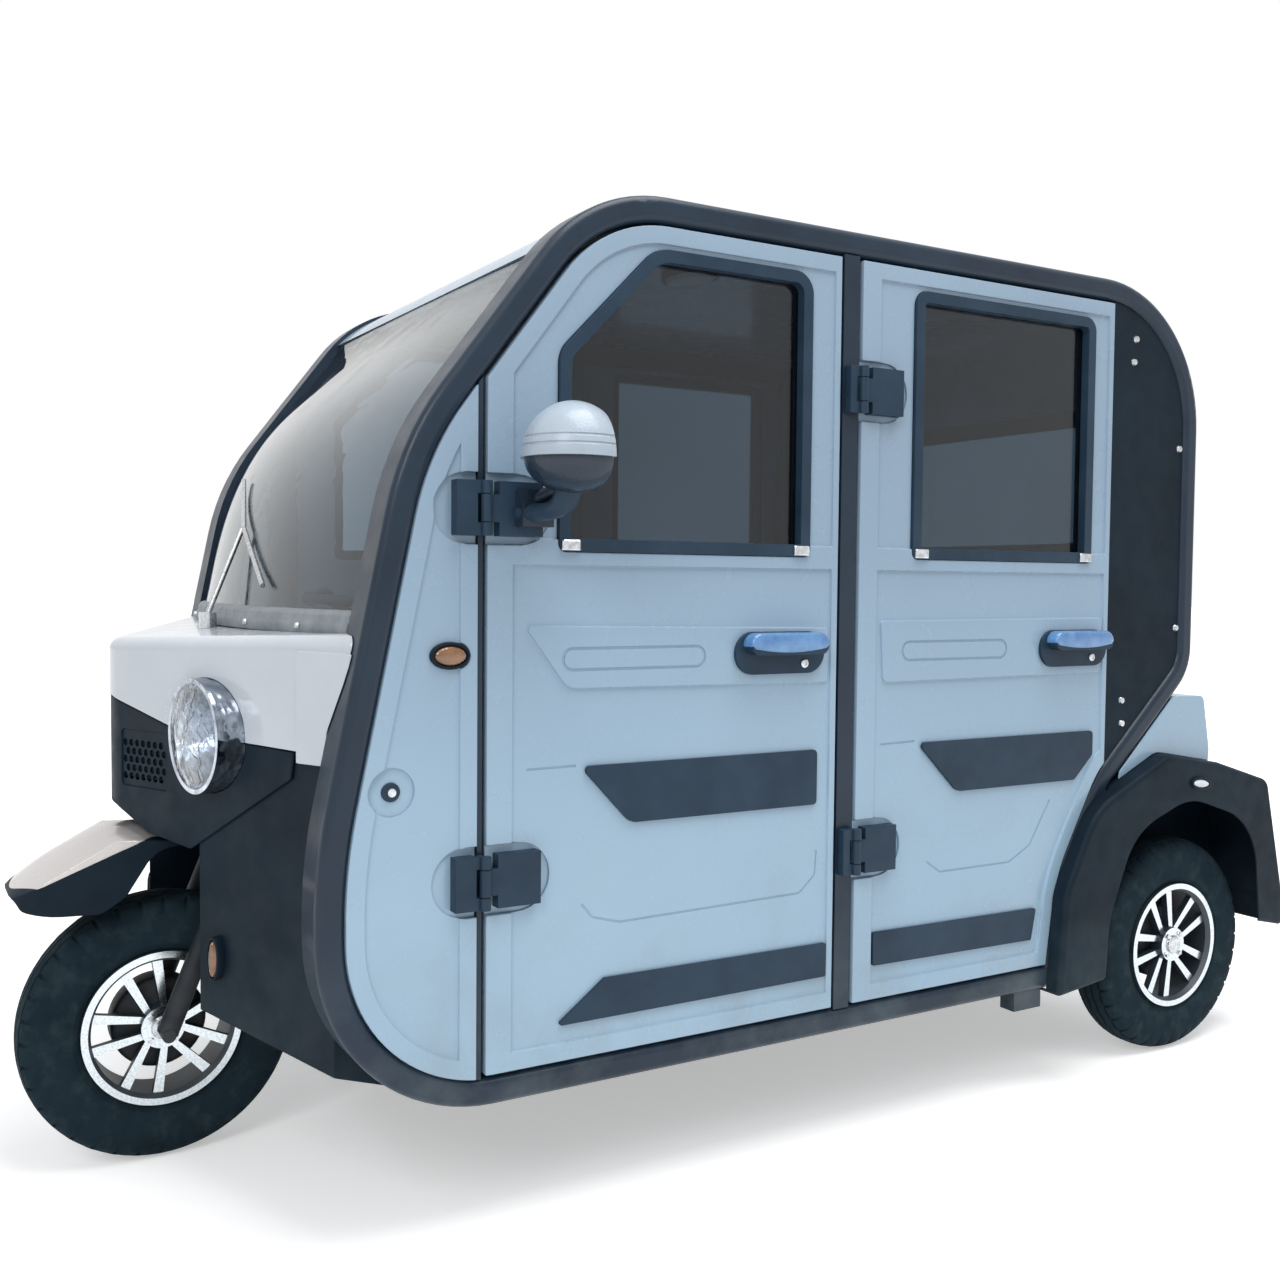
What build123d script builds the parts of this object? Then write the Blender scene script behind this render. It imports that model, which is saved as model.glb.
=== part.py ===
from build123d import *
from math import radians, sin, cos, tan
import os

os.makedirs("parts", exist_ok=True)

# Driving dimensions in millimetres. X is across, +X the vehicle's left side.
# Places along Y are measured back from the front axle, and heights from the ground.
wheelbase = 2104
front_overhang = 252
rear_overhang = 306
wheel_radius = 242
tyre_width = 104
rim_radius = 140
rear_track_half = 530
body_half = 606
roof_height = 1704
sill_height = 215

# Side frame: a black tube hoop round each side
hoop_band = 45
hoop_depth = 46
hoop_round = 14
stop_band = 78
stop_depth = 30
stop_face = body_half - hoop_depth
inner_half = stop_face - stop_depth

# Doors
door_thickness = 40
door_gap = 6
latch_gap = 7
a_post = 372
door_front = 387
pillar_middle = 1113
pillar_width = 36
door_rear = wheelbase - 282
door_border = 30
hinge_border = 45
latch_border = 14
skin_step = 5
hinge_out = 15
hinge_ahead = 8
hinge_radius = 9
hinge_pin = 4
hinge_height = 86
dish_depth = 9
seat = 0.3

# Windows
window_sill = 1105
window_head = roof_height - 89
frame_width = 22
glass_thickness = 5
split_height = 850
nose_top = split_height + 98
screen_base = nose_top + 27
screen_top = roof_height - 102
screen_bulge = 70
screen_thickness = 7

# Steering
steer_rake = 22
steer_offset = 40
fork_half = 82
fork_leg = 19
well_half = 228
well_back = 312

# Wheels and controls
axle_radius = 12
hub_radius = 38
handle_height = nose_top + 67
handle_radius = 11

# Skins and interior
skin = 5
floor_thickness = 30
seat_height = 500

door_inner = body_half - door_thickness
pillar_front = pillar_middle - pillar_width / 2
pillar_back = pillar_middle + pillar_width / 2
front_door_back = pillar_front - latch_gap
rear_door_front = pillar_back + latch_gap

nodes = {}


def outline(rows):
    """Closed face in the side plane from rows of (y, z, corner radius)."""
    line = FilletPolyline(*[(y, z) for y, z, r in rows], radius=[r for y, z, r in rows], close=True)
    return make_face(line)


def side_solid(face, x_low, x_high):
    """A side-view face, thickened from x_low to x_high."""
    return extrude(Plane.YZ.offset(x_low) * face, x_high - x_low)


def plan_solid(face, z_low, z_high):
    return extrude(Plane.XY.offset(z_low) * face, z_high - z_low)


def block(x, y, z):
    """A box from its (low, high) limits along each axis."""
    size = [b - a for a, b in (x, y, z)]
    return Pos((x[0] + x[1]) / 2, (y[0] + y[1]) / 2, (z[0] + z[1]) / 2) * Box(*size)


def rod(start, end, radius):
    """A round bar between two points."""
    a, b = Vector(*start), Vector(*end)
    on_start = (Align.CENTER, Align.CENTER, Align.MIN)
    return Plane(origin=a, z_dir=b - a) * Cylinder(radius, (b - a).length, align=on_start)


def inset(face, amount):
    return offset(face, amount=-amount, kind=Kind.INTERSECTION)


def strip(y_low, y_high):
    """A tall face that keeps only one stretch of the side view."""
    return Pos((y_low + y_high) / 2, roof_height / 2) * Rectangle(y_high - y_low, 2 * roof_height)


def both(shape):
    """The shape and its mirror image across the middle."""
    return shape, mirror(shape, about=Plane.YZ)


def pair(name, shape):
    """Two nodes, one on each side."""
    nodes[name + "_left"], nodes[name + "_right"] = both(shape)


def solids(*shapes):
    return Compound([solid for shape in shapes for solid in shape.solids()])


def twins(name, shape):
    """One node that holds the shape on both sides."""
    nodes[name] = solids(*both(shape))


# Side view of the hoop's outer edge: y, z, corner radius
hoop_rows = [
    (118, sill_height, 290),
    (112, 620, 900),
    (247, roof_height - 431, 500),
    (571, roof_height, 290),
    (wheelbase + 1, roof_height, 300),
    (wheelbase + 1, 870, 120),
    (wheelbase - 266, 625, 150),
    (wheelbase - 374, 430, 300),
    (wheelbase - 402, sill_height, 25),
]
hoop_face = outline(hoop_rows)
opening_face = inset(hoop_face, hoop_band)
stop_opening = inset(hoop_face, stop_band)

# Side hoops with their posts
hoop = side_solid(hoop_face - opening_face, stop_face, body_half)
outer_edges = hoop.edges().filter_by_position(Axis.X, body_half - 0.1, body_half + 0.1)
hoop = fillet(outer_edges, hoop_round)
post_bars = [(a_post, a_post + 8), (pillar_front, pillar_back)]
for y_low, y_high in post_bars:
    hoop += side_solid(opening_face & strip(y_low, y_high), stop_face, body_half - 3)
stop_face_2d = hoop_face - stop_opening
stop_bars = [
    (a_post - 22, door_front + 24),
    (front_door_back - 22, rear_door_front + 22),
    (door_rear - 22, door_rear + 30),
]
for y_low, y_high in stop_bars:
    stop_face_2d += stop_opening & strip(y_low, y_high)
hoop += side_solid(stop_face_2d, inner_half, stop_face)
foot_y = (wheelbase - 529, wheelbase - 452)
hoop += block((stop_face, body_half - 8), foot_y, (sill_height - 38, sill_height + 5))
pair("side_hoop", hoop)

# Fixed side panels ahead of the front doors
panel_face = opening_face & strip(0, a_post - seat)
fixed_panel = side_solid(inset(panel_face, seat), stop_face + seat, body_half)
field = inset(panel_face, door_border)
fixed_panel -= side_solid(field, body_half - skin_step, body_half + 1)
marker_y, marker_z = 325, 940
marker_at = Pos(marker_y, marker_z)
marker = side_solid(marker_at * SlotOverall(66, 40), body_half - skin_step + seat, body_half + 6)
marker_pocket = marker_at * SlotOverall(66 + 2 * seat, 40 + 2 * seat)
fixed_panel -= side_solid(marker_pocket, body_half - skin_step, body_half + 7)
hinge_rows = {"front_door": (1170, 581), "rear_door": (1414, 558)}
for height in hinge_rows["front_door"]:
    dish = Pos(door_front - hinge_ahead - 8, height) * SlotOverall(150, 112)
    fixed_panel -= side_solid(dish, body_half - dish_depth, body_half + 1)
screw_dish = Plane.YZ.offset(body_half) * (Pos(231, 733) * Cylinder(38, 2 * dish_depth))
fixed_panel -= screw_dish
twins("front_side_panels", fixed_panel)

# Rear quarter panels behind the rear doors
quarter_face = inset(opening_face & strip(door_rear + 8, wheelbase), seat)
quarter = side_solid(quarter_face, stop_face + seat, body_half - 8)
twins("quarter_panels", quarter)

# Doors: name, front edge, back edge, window rows
front_window = [
    (door_front + 125, window_sill, 14),
    (door_front + 125, window_head - 187, 50),
    (692, window_head, 70),
    (front_door_back - 66, window_head, 40),
    (front_door_back - 66, window_sill, 14),
]
rear_window = [
    (rear_door_front + 130, window_sill, 14),
    (rear_door_front + 130, window_head, 30),
    (door_rear - 58, window_head, 30),
    (door_rear - 58, window_sill, 14),
]
# Black trims and the handle's raised field, as y and z from each door's own edges
door_rows = [
    # name, front, back, window, hinge heights, upper trim, lower trim, raised field, handle middle
    ("front_door", door_front, front_door_back, front_window, (1170, 581),
     [(554, 753, 8), (1045, 753, 8), (1045, 652, 8), (650, 652, 30)],
     [(603, 394, 4), (1072, 391, 4), (1072, 328, 4), (511, 326, 4)],
     [(453, 985, 6), (1067, 976, 6), (1067, 876, 6), (530, 882, 30)], (955, 933)),
    ("rear_door", rear_door_front, door_rear, rear_window, (1414, 558),
     [(1290, 752, 8), (1782, 751, 8), (1782, 700, 12), (1728, 650, 12), (1395, 650, 30)],
     [(1185, 395, 4), (1623, 390, 4), (1610, 325, 4), (1186, 331, 4)],
     [(1194, 988, 6), (1805, 990, 6), (1800, 875, 6), (1201, 871, 12)], (1712, 928)),
]
creases = {
    "front_door": [
        [(459, 753), (548, 754)],
        [(561, 522), (580, 499), (634, 484), (1013, 490), (1047, 520), (1050, 566)],
    ],
    "rear_door": [
        [(1200, 753), (1286, 755)],
        [(1323, 516), (1358, 493), (1549, 493), (1606, 523), (1662, 612)],
    ],
}
leaf_plates = []
for name, front, back, window_rows, hinge_heights, upper, lower, raised, handle in door_rows:
    door_face = inset(hoop_face, hoop_band + door_gap) & strip(front, back)
    window_face = outline(window_rows)
    door = side_solid(door_face, door_inner, body_half)
    skin_field = inset(hoop_face, hoop_band + door_gap + door_border)
    skin_field = skin_field & strip(front + hinge_border, back - latch_border)
    door -= side_solid(skin_field, body_half - skin_step, body_half + 1)
    door += side_solid(outline(raised), body_half - skin_step, body_half)
    ledge = block((body_half - skin_step, body_half), (front + hinge_border, back - latch_border),
                  (window_sill - 22, window_sill + 20))
    door += ledge
    door -= side_solid(window_face, door_inner - 1, body_half + 1)
    for height in hinge_heights:
        dish = Pos(front + 30, height) * SlotOverall(168, 112)
        door -= side_solid(dish, body_half - dish_depth, body_half + 1)
    for points in creases[name]:
        line = trace(FilletPolyline(*points, radius=14) if len(points) > 2 else Polyline(*points), 4)
        door -= side_solid(line, body_half - skin_step - 1.6, body_half + 1)
    rib_y = front + 272 if name == "front_door" else front + 247
    rib = Pos(rib_y, 930) * (SlotOverall(280, 40) - SlotOverall(270, 30))
    door -= side_solid(rib, body_half - 2, body_half + 1)
    pair(name, door)

    frame_face = inset(window_face, seat)
    light = inset(window_face, frame_width)
    window_frame = side_solid(frame_face - light, door_inner + 8, body_half + 2)
    middle_x = door_inner + door_thickness / 2
    window_frame -= side_solid(inset(window_face, frame_width - 8), middle_x - glass_thickness / 2 - seat,
                               middle_x + glass_thickness / 2 + seat)
    glass = side_solid(inset(window_face, frame_width - 8 + seat), middle_x - glass_thickness / 2,
                       middle_x + glass_thickness / 2)
    pair(name + "_glass", glass)

    floor_x = body_half - skin_step
    fittings = [window_frame]
    for rows in (upper, lower):
        fittings.append(side_solid(outline(rows), floor_x, floor_x + 7))
    hy, hz = handle
    cup = side_solid(Pos(hy, hz) * SlotOverall(196, 76), body_half, body_half + 8)
    cup += side_solid(Pos(hy + 4, hz + 14) * SlotOverall(170, 34), body_half + 8, body_half + 34)
    fittings.append(cup)
    pin_x, pin_y = body_half + hinge_out, front - hinge_ahead
    dish_floor = body_half - dish_depth + seat
    for height in hinge_heights:
        low = height - hinge_height / 2
        middle = (low + hinge_height * 0.25, low + hinge_height * 0.75)
        arm = block((dish_floor, body_half + 14), (front + 14, front + 90), (low, low + hinge_height))
        knuckle = rod((pin_x, pin_y, middle[0]), (pin_x, pin_y, middle[1]), hinge_radius)
        bridge = block((body_half + 2, body_half + 14), (pin_y, front + 16), middle)
        arm += knuckle + bridge
        arm -= rod((pin_x, pin_y, low - 1), (pin_x, pin_y, low + hinge_height + 1), hinge_pin + 0.05)
        fittings.append(arm)
        ends = [(low, middle[0] - 1), (middle[1] + 1, low + hinge_height)]
        plate_y = pin_y - 50 if name == "front_door" else pin_y - 30
        leaf = rod((pin_x, pin_y, low), (pin_x, pin_y, low + hinge_height), hinge_pin)
        for end in ends:
            leaf += rod((pin_x, pin_y, end[0]), (pin_x, pin_y, end[1]), hinge_radius)
            leaf += block((body_half, body_half + 14), (plate_y, pin_y), end)
        leaf_floor = dish_floor if name == "front_door" else body_half - 3 + seat
        leaf_y = (plate_y, pin_y - hinge_radius - 5)
        leaf += block((leaf_floor, body_half + 14), leaf_y, (low, low + hinge_height))
        leaf_plates.append(leaf)
    pair(name + "_fittings", solids(*fittings))
twins("hinge_leaves", solids(*leaf_plates))

# Mirrors, carried by the front doors' upper hinge arms
mirror_x, mirror_y, mirror_z = body_half + 118, 475, 1243
dome = scale(Sphere(1), by=(80, 80, 88)) & block((-100, 100), (-100, 36), (0, 100))
bowl = scale(Sphere(1), by=(75, 74, 52)) & block((-100, 100), (-100, 34), (-60, -seat))
head = Pos(mirror_x, mirror_y, mirror_z) * solids(dome, bowl)
stalk = rod((body_half + 30, 455, 1185), (mirror_x - 30, mirror_y, mirror_z - 40), 11)
stalk += block((body_half + 14 + seat, body_half + 42), (428, 482), (1142, 1200))
stalk -= Pos(mirror_x, mirror_y, mirror_z) * scale(Sphere(1), by=(75 + seat, 74 + seat, 52 + seat))
pair("mirror", solids(head, stalk))


def band(depth, thickness, y_range, z_range, half):
    """A sheet across the vehicle that follows the hoop's outline at a depth below it."""
    face = inset(hoop_face, depth) - inset(hoop_face, depth + thickness)
    window = Pos((y_range[0] + y_range[1]) / 2, (z_range[0] + z_range[1]) / 2) * Rectangle(
        y_range[1] - y_range[0], z_range[1] - z_range[0])
    return side_solid(face & window, -half, half)


# Sheets between the hoops
sheet_half = inner_half - seat
screen_face = inset(hoop_face, 12)


def edge_y(height):
    """Where the sheet's front edge lies at a height, in the side view."""
    return (screen_face & Pos(0, height) * Rectangle(3000, 1)).bounding_box().min.X


def bulge(height):
    """How far the windscreen's middle stands ahead of its edges."""
    share = (height - screen_base) / (screen_top - screen_base)
    return screen_bulge * cos(radians(88 * share))


def screen_section(height):
    y, b, t = edge_y(height), bulge(height), screen_thickness
    outer = ThreePointArc((-sheet_half, y), (0, y - b), (sheet_half, y))
    inner = ThreePointArc((sheet_half, y + t), (0, y - b + t), (-sheet_half, y + t))
    ends = [Line(outer @ 1, inner @ 0), Line(inner @ 1, outer @ 0)]
    return Pos(0, 0, height) * make_face([outer, inner, *ends])


screen_heights = [screen_base + (screen_top - screen_base) * k / 4 for k in range(5)]
nodes["windscreen"] = loft([screen_section(height) for height in screen_heights])


def on_screen(x, height, ahead):
    """A point that far ahead of the windscreen's outer face."""
    return (x, edge_y(height) - bulge(height) * (1 - (x / sheet_half) ** 2) - ahead, height)


roof = band(8, 24, (0, wheelbase + 10), (screen_top + 2, roof_height), sheet_half)
roof_foot = roof_height - 224
roof += band(8, 24, (wheelbase - 404, wheelbase + 10), (roof_foot, screen_top + 3), sheet_half)
nodes["roof_panel"] = roof
rear_wall = band(8, 24, (wheelbase - 204, wheelbase + 10), (860, roof_foot - 1), sheet_half)
rear_light_z = roof_height - 414
rear_light = Pos(0, wheelbase, rear_light_z) * Box(2 * sheet_half - 160, 200, 300)
rear_light = fillet(rear_light.edges().filter_by(Axis.Y), 40)
nodes["rear_wall"] = rear_wall - rear_light
rear_pane = Pos(0, wheelbase, rear_light_z) * Box(2 * sheet_half - 160 - 2 * seat, 200, 300 - 2 * seat)
rear_pane = fillet(rear_pane.edges().filter_by(Axis.Y), 40 - seat)
pane_sheet = band(16, 6, (wheelbase - 204, wheelbase + 10), (860, roof_foot - 1), sheet_half)
nodes["rear_window"] = rear_pane & pane_sheet

# Nose: the wedge in plan, x and y of its left half
nose_tip = -88
nose_slope = 0.46
nose_half = 575


def wedge(back, margin):
    """Plan face of the nose, grown outward by the margin."""
    tip = nose_tip - margin
    side = nose_half + margin
    corner = tip + nose_slope * side
    rows = [(0, tip), (side, corner), (side, back), (-side, back), (-side, corner)]
    line = FilletPolyline(*rows, radius=[90, 24, 0, 0, 24], close=True)
    return make_face(line)


nose_back = 320
nose_slant = 0.093
split_drop = 55
shell_low = split_height - split_drop - 30
grille_low, grille_high = split_height - 160, split_height - 60
grille_near, grille_far = 46, 178
hex_radius, hex_pitch = 7, 17
hoop_clear = side_solid(offset(hoop_face, amount=1.5), inner_half, body_half + 50)
hoop_clear += mirror(hoop_clear, about=Plane.YZ)
glass_clear = side_solid(inset(hoop_face, 12), -inner_half, inner_half)


def front_view(rows):
    """A wide prism along Y from the left half of a front view, as (x, z) rows."""
    half = make_face(Polyline(*rows, close=True))
    return extrude(Plane.XZ.offset(300) * (half + mirror(half, about=Plane.YZ)), -800)


def bonnet(margin):
    """The nose's outer form, grown by the margin, with its top rising to the windscreen."""
    form = plan_solid(wedge(nose_back, margin), shell_low, nose_top + 100)
    front_z = nose_top + margin - 62 * nose_slant
    back_z = front_z + (nose_back + 170) * nose_slant
    below = Polyline((-150, front_z), (nose_back + 20, back_z), (nose_back + 20, 500), (-150, 500), close=True)
    form = form & side_solid(make_face(below), -700, 700)
    top = form.faces().sort_by(Axis.Z)[-1]
    return fillet(top.edges().sort_by(Axis.Y)[:-1], 24)


# The white shell ends on a line that falls from the middle to the lamps
shell_view = [
    (0, split_height),
    (200, split_height - split_drop),
    (620, split_height - split_drop - 15),
    (620, 1100),
    (0, 1100),
]
ear_view = [(468, 700), (620, 700), (620, 1000), (468, 1000)]
ear = plan_solid(wedge(nose_back, 5), shell_low + 3, nose_top - 4) & front_view(ear_view)
shell = (bonnet(0) & front_view(shell_view)) + ear - bonnet(-skin)
nodes["nose_shell"] = shell - hoop_clear - glass_clear

# The black lower nose comes to a keel in the middle and rises to the hoops
lower_view = [
    (0, split_height - 187),
    (110, split_height - 238),
    (215, split_height - 252),
    (446, split_height - 110),
    (452, split_height - 74),
    (452, split_height - split_drop - 11),
    (200, split_height - split_drop - 2),
    (0, split_height - 2),
]
lower_margin = -2
lower = plan_solid(wedge(nose_back, lower_margin), split_height - 270, split_height)
lower -= plan_solid(wedge(nose_back + 50, lower_margin - skin), split_height - 280, split_height + 10)
lower = (lower & front_view(lower_view)) - hoop_clear - glass_clear

# Grille inserts with hexagonal holes, one on each face of the keel
face_plane = Plane(
    origin=(0, nose_tip - lower_margin, 0), x_dir=(1, nose_slope, 0), z_dir=(nose_slope, -1, 0))
grille_middle = Pos((grille_near + grille_far) / 2, (grille_low + grille_high) / 2)
grille_size = (grille_far - grille_near, grille_high - grille_low)
grille_opening = grille_middle * RectangleRounded(*grille_size, 8)
grille_face = grille_middle * RectangleRounded(grille_size[0] - 2 * seat, grille_size[1] - 2 * seat, 8 - seat)
row_pitch = hex_pitch * cos(radians(30))
for row in range(int((grille_size[1] - 12) / row_pitch)):
    for column in range(int((grille_size[0] - 8) / hex_pitch)):
        u = grille_near + 4 + hex_pitch * (column + 0.5 + 0.5 * (row % 2) - 0.25)
        v = grille_low + 10 + row_pitch * (row + 0.5)
        grille_face -= Pos(u, v) * RegularPolygon(hex_radius, 6, rotation=30)
for side in both(extrude(face_plane.offset(-30) * grille_opening, 60)):
    lower -= side
nodes["nose_lower"] = lower
twins("nose_grille", extrude(face_plane.offset(-skin) * grille_face, skin - 2.5))

# Wiper: its arm stands on the nose and its blade lies across the windscreen's middle
wiper_y, wiper_height = 92, 1150
blade_reach, blade_drop = 200, 105
tip = on_screen(0, wiper_height, 14)
wiper = rod((0, wiper_y, nose_top), (0, wiper_y, nose_top + 46), 16)
wiper += rod((0, wiper_y, nose_top + 42), tip, 5)
for side in (-1, 1):
    end = on_screen(side * blade_reach, wiper_height - side * blade_drop, 11)
    wiper += rod(on_screen(0, wiper_height, 11), end, 4.5)
nodes["wiper"] = wiper - bonnet(seat)

# Headlamps, toed out a little and standing proud of the wedge
lamp_x, lamp_z, lamp_radius, lamp_toe = 265, split_height - 55, 96, 12
lamp_y = nose_tip + nose_slope * lamp_x - 26
lamp_normal = (sin(radians(lamp_toe)), -cos(radians(lamp_toe)), 0)
lamp_plane = Plane(origin=(lamp_x, lamp_y, lamp_z), x_dir=(0, 0, 1), z_dir=lamp_normal)
lens_radius, lens_rise = lamp_radius - 8, 16
lens_sphere = (lens_radius ** 2 + lens_rise ** 2) / (2 * lens_rise)
on_top = (Align.CENTER, Align.CENTER, Align.MAX)
cup = Cylinder(lamp_radius, 100, align=on_top) - Cylinder(lens_radius, 5, align=on_top)
cup -= Pos(0, 0, -5) * Cone(34, lens_radius - 8, 60, align=on_top)
cup += Pos(0, 0, -40) * Cylinder(16, 50, align=on_top)
lens = Pos(0, 0, lens_rise - lens_sphere) * (Sphere(lens_sphere) - Sphere(lens_sphere - 3))
lens &= Pos(0, 0, 24) * Cylinder(lens_radius - seat, 28.5, align=on_top)
lamp_hole = lamp_plane * (Pos(0, 0, 15) * Cylinder(lamp_radius + seat, 130, align=on_top))
for side in both(lamp_hole):
    nodes["nose_shell"] -= side
    nodes["nose_lower"] -= side
twins("headlamps", lamp_plane * cup)
twins("headlamp_lenses", lamp_plane * lens)

# Front apron with the wheel well
well_top = 705
apron_half = inner_half - seat
apron_top = split_height - 70
apron = plan_solid(wedge(well_back + 60, -9), sill_height, apron_top)
room = plan_solid(wedge(well_back + 200, -9 - skin), sill_height - 10, apron_top + 10)
inside = block((-apron_half + skin, apron_half - skin), (-200, 700), (0, 900))
well = block((-well_half, well_half), (-300, well_back), (0, well_top))
well_skin = block((-well_half - skin, well_half + skin), (-300, well_back + skin), (0, well_top + skin))
outer_limit = block((-apron_half, apron_half), (-300, well_back + 60), (0, 900))
apron = ((apron - (room & inside)) + (apron & well_skin)) & outer_limit
# The underside rises ahead of the floor
rise = make_face(Polyline((-200, 0), (180, 0), (180, sill_height), (-10, 310), (-200, 400), close=True))
apron = apron - well - side_solid(rise, -inner_half, inner_half)
for side in both(lamp_hole):
    apron -= side
nodes["front_apron"] = apron
lamp_low = block((258, 292), (-60, 200), (384, 459))
amber = plan_solid(wedge(200, 8), 384, 459) & lamp_low
amber -= plan_solid(wedge(300, -9 + seat), 300, 500)
nodes["marker_lamps"] = solids(*both(marker), *both(amber))

# Floor and chassis rails
rail_half = 330
floor_y = (well_back + 60 + seat, wheelbase - 464)
floor_z = (sill_height, sill_height + floor_thickness)
nodes["floor_pan"] = block((-inner_half + seat, inner_half - seat), floor_y, floor_z)
rail_rows = [
    (420, 180, 0),
    (wheelbase - 379, 180, 60),
    (wheelbase - 254, 430, 60),
    (wheelbase + 256, 430, 0),
    (wheelbase + 256, 480, 0),
    (wheelbase - 278, 480, 60),
    (wheelbase - 404, sill_height - seat, 60),
    (420, sill_height - seat, 0),
]
rail = side_solid(outline(rail_rows), rail_half - 20, rail_half + 20)
nodes["chassis_rails"] = rail + mirror(rail, about=Plane.YZ)

# Battery under the front seat
nodes["battery_box"] = block((-230, 230), (740, 1100), (floor_z[1] + seat, seat_height - 20))
nodes["front_seat"] = block((-240, 240), (700, 1120), (seat_height - 20 + seat, seat_height + 90))
nodes["front_seat_back"] = block((-230, 230), (1120 + seat, 1215), (seat_height + 60, 1150))
bench_back = wheelbase - 64
bench_front = wheelbase - 464
bench = block((-430, 430), (bench_front + seat, bench_back), (480 + seat, 560))
bench += block((-430, 430), (bench_front + seat, bench_front + 20), (sill_height + floor_thickness, 560))
nodes["rear_bench"] = bench
nodes["rear_seat"] = block((-430, 430), (bench_front - 30, bench_back), (560 + seat, 650))
nodes["rear_seat_back"] = block((-430, 430), (bench_back - 85, bench_back), (650 + seat, 1180))
dashboard = block((-inner_half + seat, inner_half - seat), (150, 285), (nose_top - 148, nose_top + 12))
dashboard = dashboard & side_solid(inset(hoop_face, 20), -700, 700)
nodes["dashboard"] = dashboard - block((-50, 50), (205, 300), (nose_top - 158, nose_top + 22))

# Rear fenders: a shell round each wheel, with its arch cut in the outer face
fender_in, fender_out = 452, body_half + 38
fender_rows = [
    (wheelbase - 447, 205, 10),
    (wheelbase - 432, 420, 120),
    (wheelbase - 344, 590, 160),
    (wheelbase - 114, 692, 60),
    (wheelbase + 56, 664, 10),
    (wheelbase + 236, 612, 30),
    (wheelbase + rear_overhang, 330, 60),
    (wheelbase + rear_overhang, 262, 10),
    (wheelbase + 214, 282, 6),
]
arch_rows = [
    (wheelbase - 314, 100, 0),
    (wheelbase - 298, 350, 200),
    (wheelbase - 224, 530, 160),
    (wheelbase - 44, 592, 160),
    (wheelbase + 186, 520, 160),
    (wheelbase + 214, 282, 0),
    (wheelbase + 214, 100, 0),
]
fender_face = outline(fender_rows)
fender = side_solid(fender_face, fender_in, fender_out)
outer_edges = fender.edges().filter_by_position(Axis.X, fender_out - 0.1, fender_out + 0.1)
fender = fillet(outer_edges.sort_by(Axis.Z)[3:], 12)
arch_face = outline(arch_rows)
cavity = inset(fender_face, skin) + Pos(0, -60) * inset(fender_face, skin)
fender -= side_solid(arch_face, body_half - 40, fender_out + 1)
fender -= side_solid(cavity, fender_in + skin, fender_out - skin)
fender -= side_solid(offset(hoop_face, amount=1), fender_in - 1, body_half + seat)
twins("rear_fenders", fender)

# Tail shell behind the hoops, sitting on the fenders
tail_rows = [
    (wheelbase - 244, 560, 0),
    (wheelbase - 204, 818, 0),
    (wheelbase + 46, 812, 16),
    (wheelbase + 70, 690, 40),
    (wheelbase + 56, 520, 20),
    (wheelbase - 244, 520, 0),
]
tail_face = outline(tail_rows)
tail = side_solid(tail_face, -body_half + 2, body_half - 2)
tail_room = inset(tail_face, skin)
tail -= side_solid(tail_room + Pos(-60, 0) * tail_room, -body_half + 2 + skin, body_half - 2 - skin)
tail -= block((-700, 700), (wheelbase - 304, wheelbase + 8), (500, 640))
for side in both(side_solid(offset(fender_face, amount=1), fender_in - 2, 700)):
    tail -= side
tail -= side_solid(offset(hoop_face, amount=1), -700, 700)
nodes["tail_panel"] = tail
tail_lamp = block((360, 440), (wheelbase + 46, wheelbase + 78), (600, 700))
tail_lamp -= side_solid(offset(tail_face, amount=seat), -700, 700)
twins("tail_lamps", tail_lamp)


# Wheels: tyre and rim, turned about the X axis, then placed
def turned(rows):
    """A solid turned about the X axis from rows of (x, radius)."""
    face = make_face(Polyline(*rows, close=True))
    return revolve(face, Axis.X)


def tyre():
    half = tyre_width / 2
    rows = [
        (-36, rim_radius - 4, 0),
        (-half, wheel_radius - 62, 30),
        (-half + 4, wheel_radius - 20, 14),
        (-20, wheel_radius, 30),
        (20, wheel_radius, 30),
        (half - 4, wheel_radius - 20, 14),
        (half, wheel_radius - 62, 30),
        (36, rim_radius - 4, 0),
    ]
    return revolve(outline(rows), Axis.X)


def rim():
    lip = rim_radius
    barrel_rows = [
        (-50, lip - 12),
        (-50, lip),
        (-39, lip),
        (-39, lip - 4.4),
        (39, lip - 4.4),
        (39, lip),
        (50, lip),
        (50, lip - 12),
        (40, lip - 18),
        (-40, lip - 18),
    ]
    barrel = turned(barrel_rows)
    hub = Cylinder(hub_radius, 90, rotation=(0, 90, 0))
    wheel = barrel + hub
    for k in range(5):
        for side in (-1, 1):
            root_angle = 72 * k + side * 9
            tip_angle = 72 * k + side * 22
            root = Plane(origin=(26, 30 * cos(radians(root_angle)), 30 * sin(radians(root_angle))),
                         z_dir=(0, cos(radians(root_angle)), sin(radians(root_angle))), x_dir=(1, 0, 0))
            tip = Plane(origin=(30, 126 * cos(radians(tip_angle)), 126 * sin(radians(tip_angle))),
                        z_dir=(0, cos(radians(tip_angle)), sin(radians(tip_angle))), x_dir=(1, 0, 0))
            spoke = loft([root * Rectangle(18, 12), tip * Rectangle(14, 18)])
            wheel += spoke
    return wheel - Cylinder(axle_radius + 0.05, 200, rotation=(0, 90, 0))


front_centre = (0, 0, wheel_radius)
rear_centre = (rear_track_half, wheelbase, wheel_radius)
nodes["front_tyre"] = Pos(*front_centre) * tyre()
nodes["front_rim"] = Pos(*front_centre) * rim()
pair("rear_tyre", Pos(*rear_centre) * tyre())
pair("rear_rim", Pos(*rear_centre) * rim())

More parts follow.
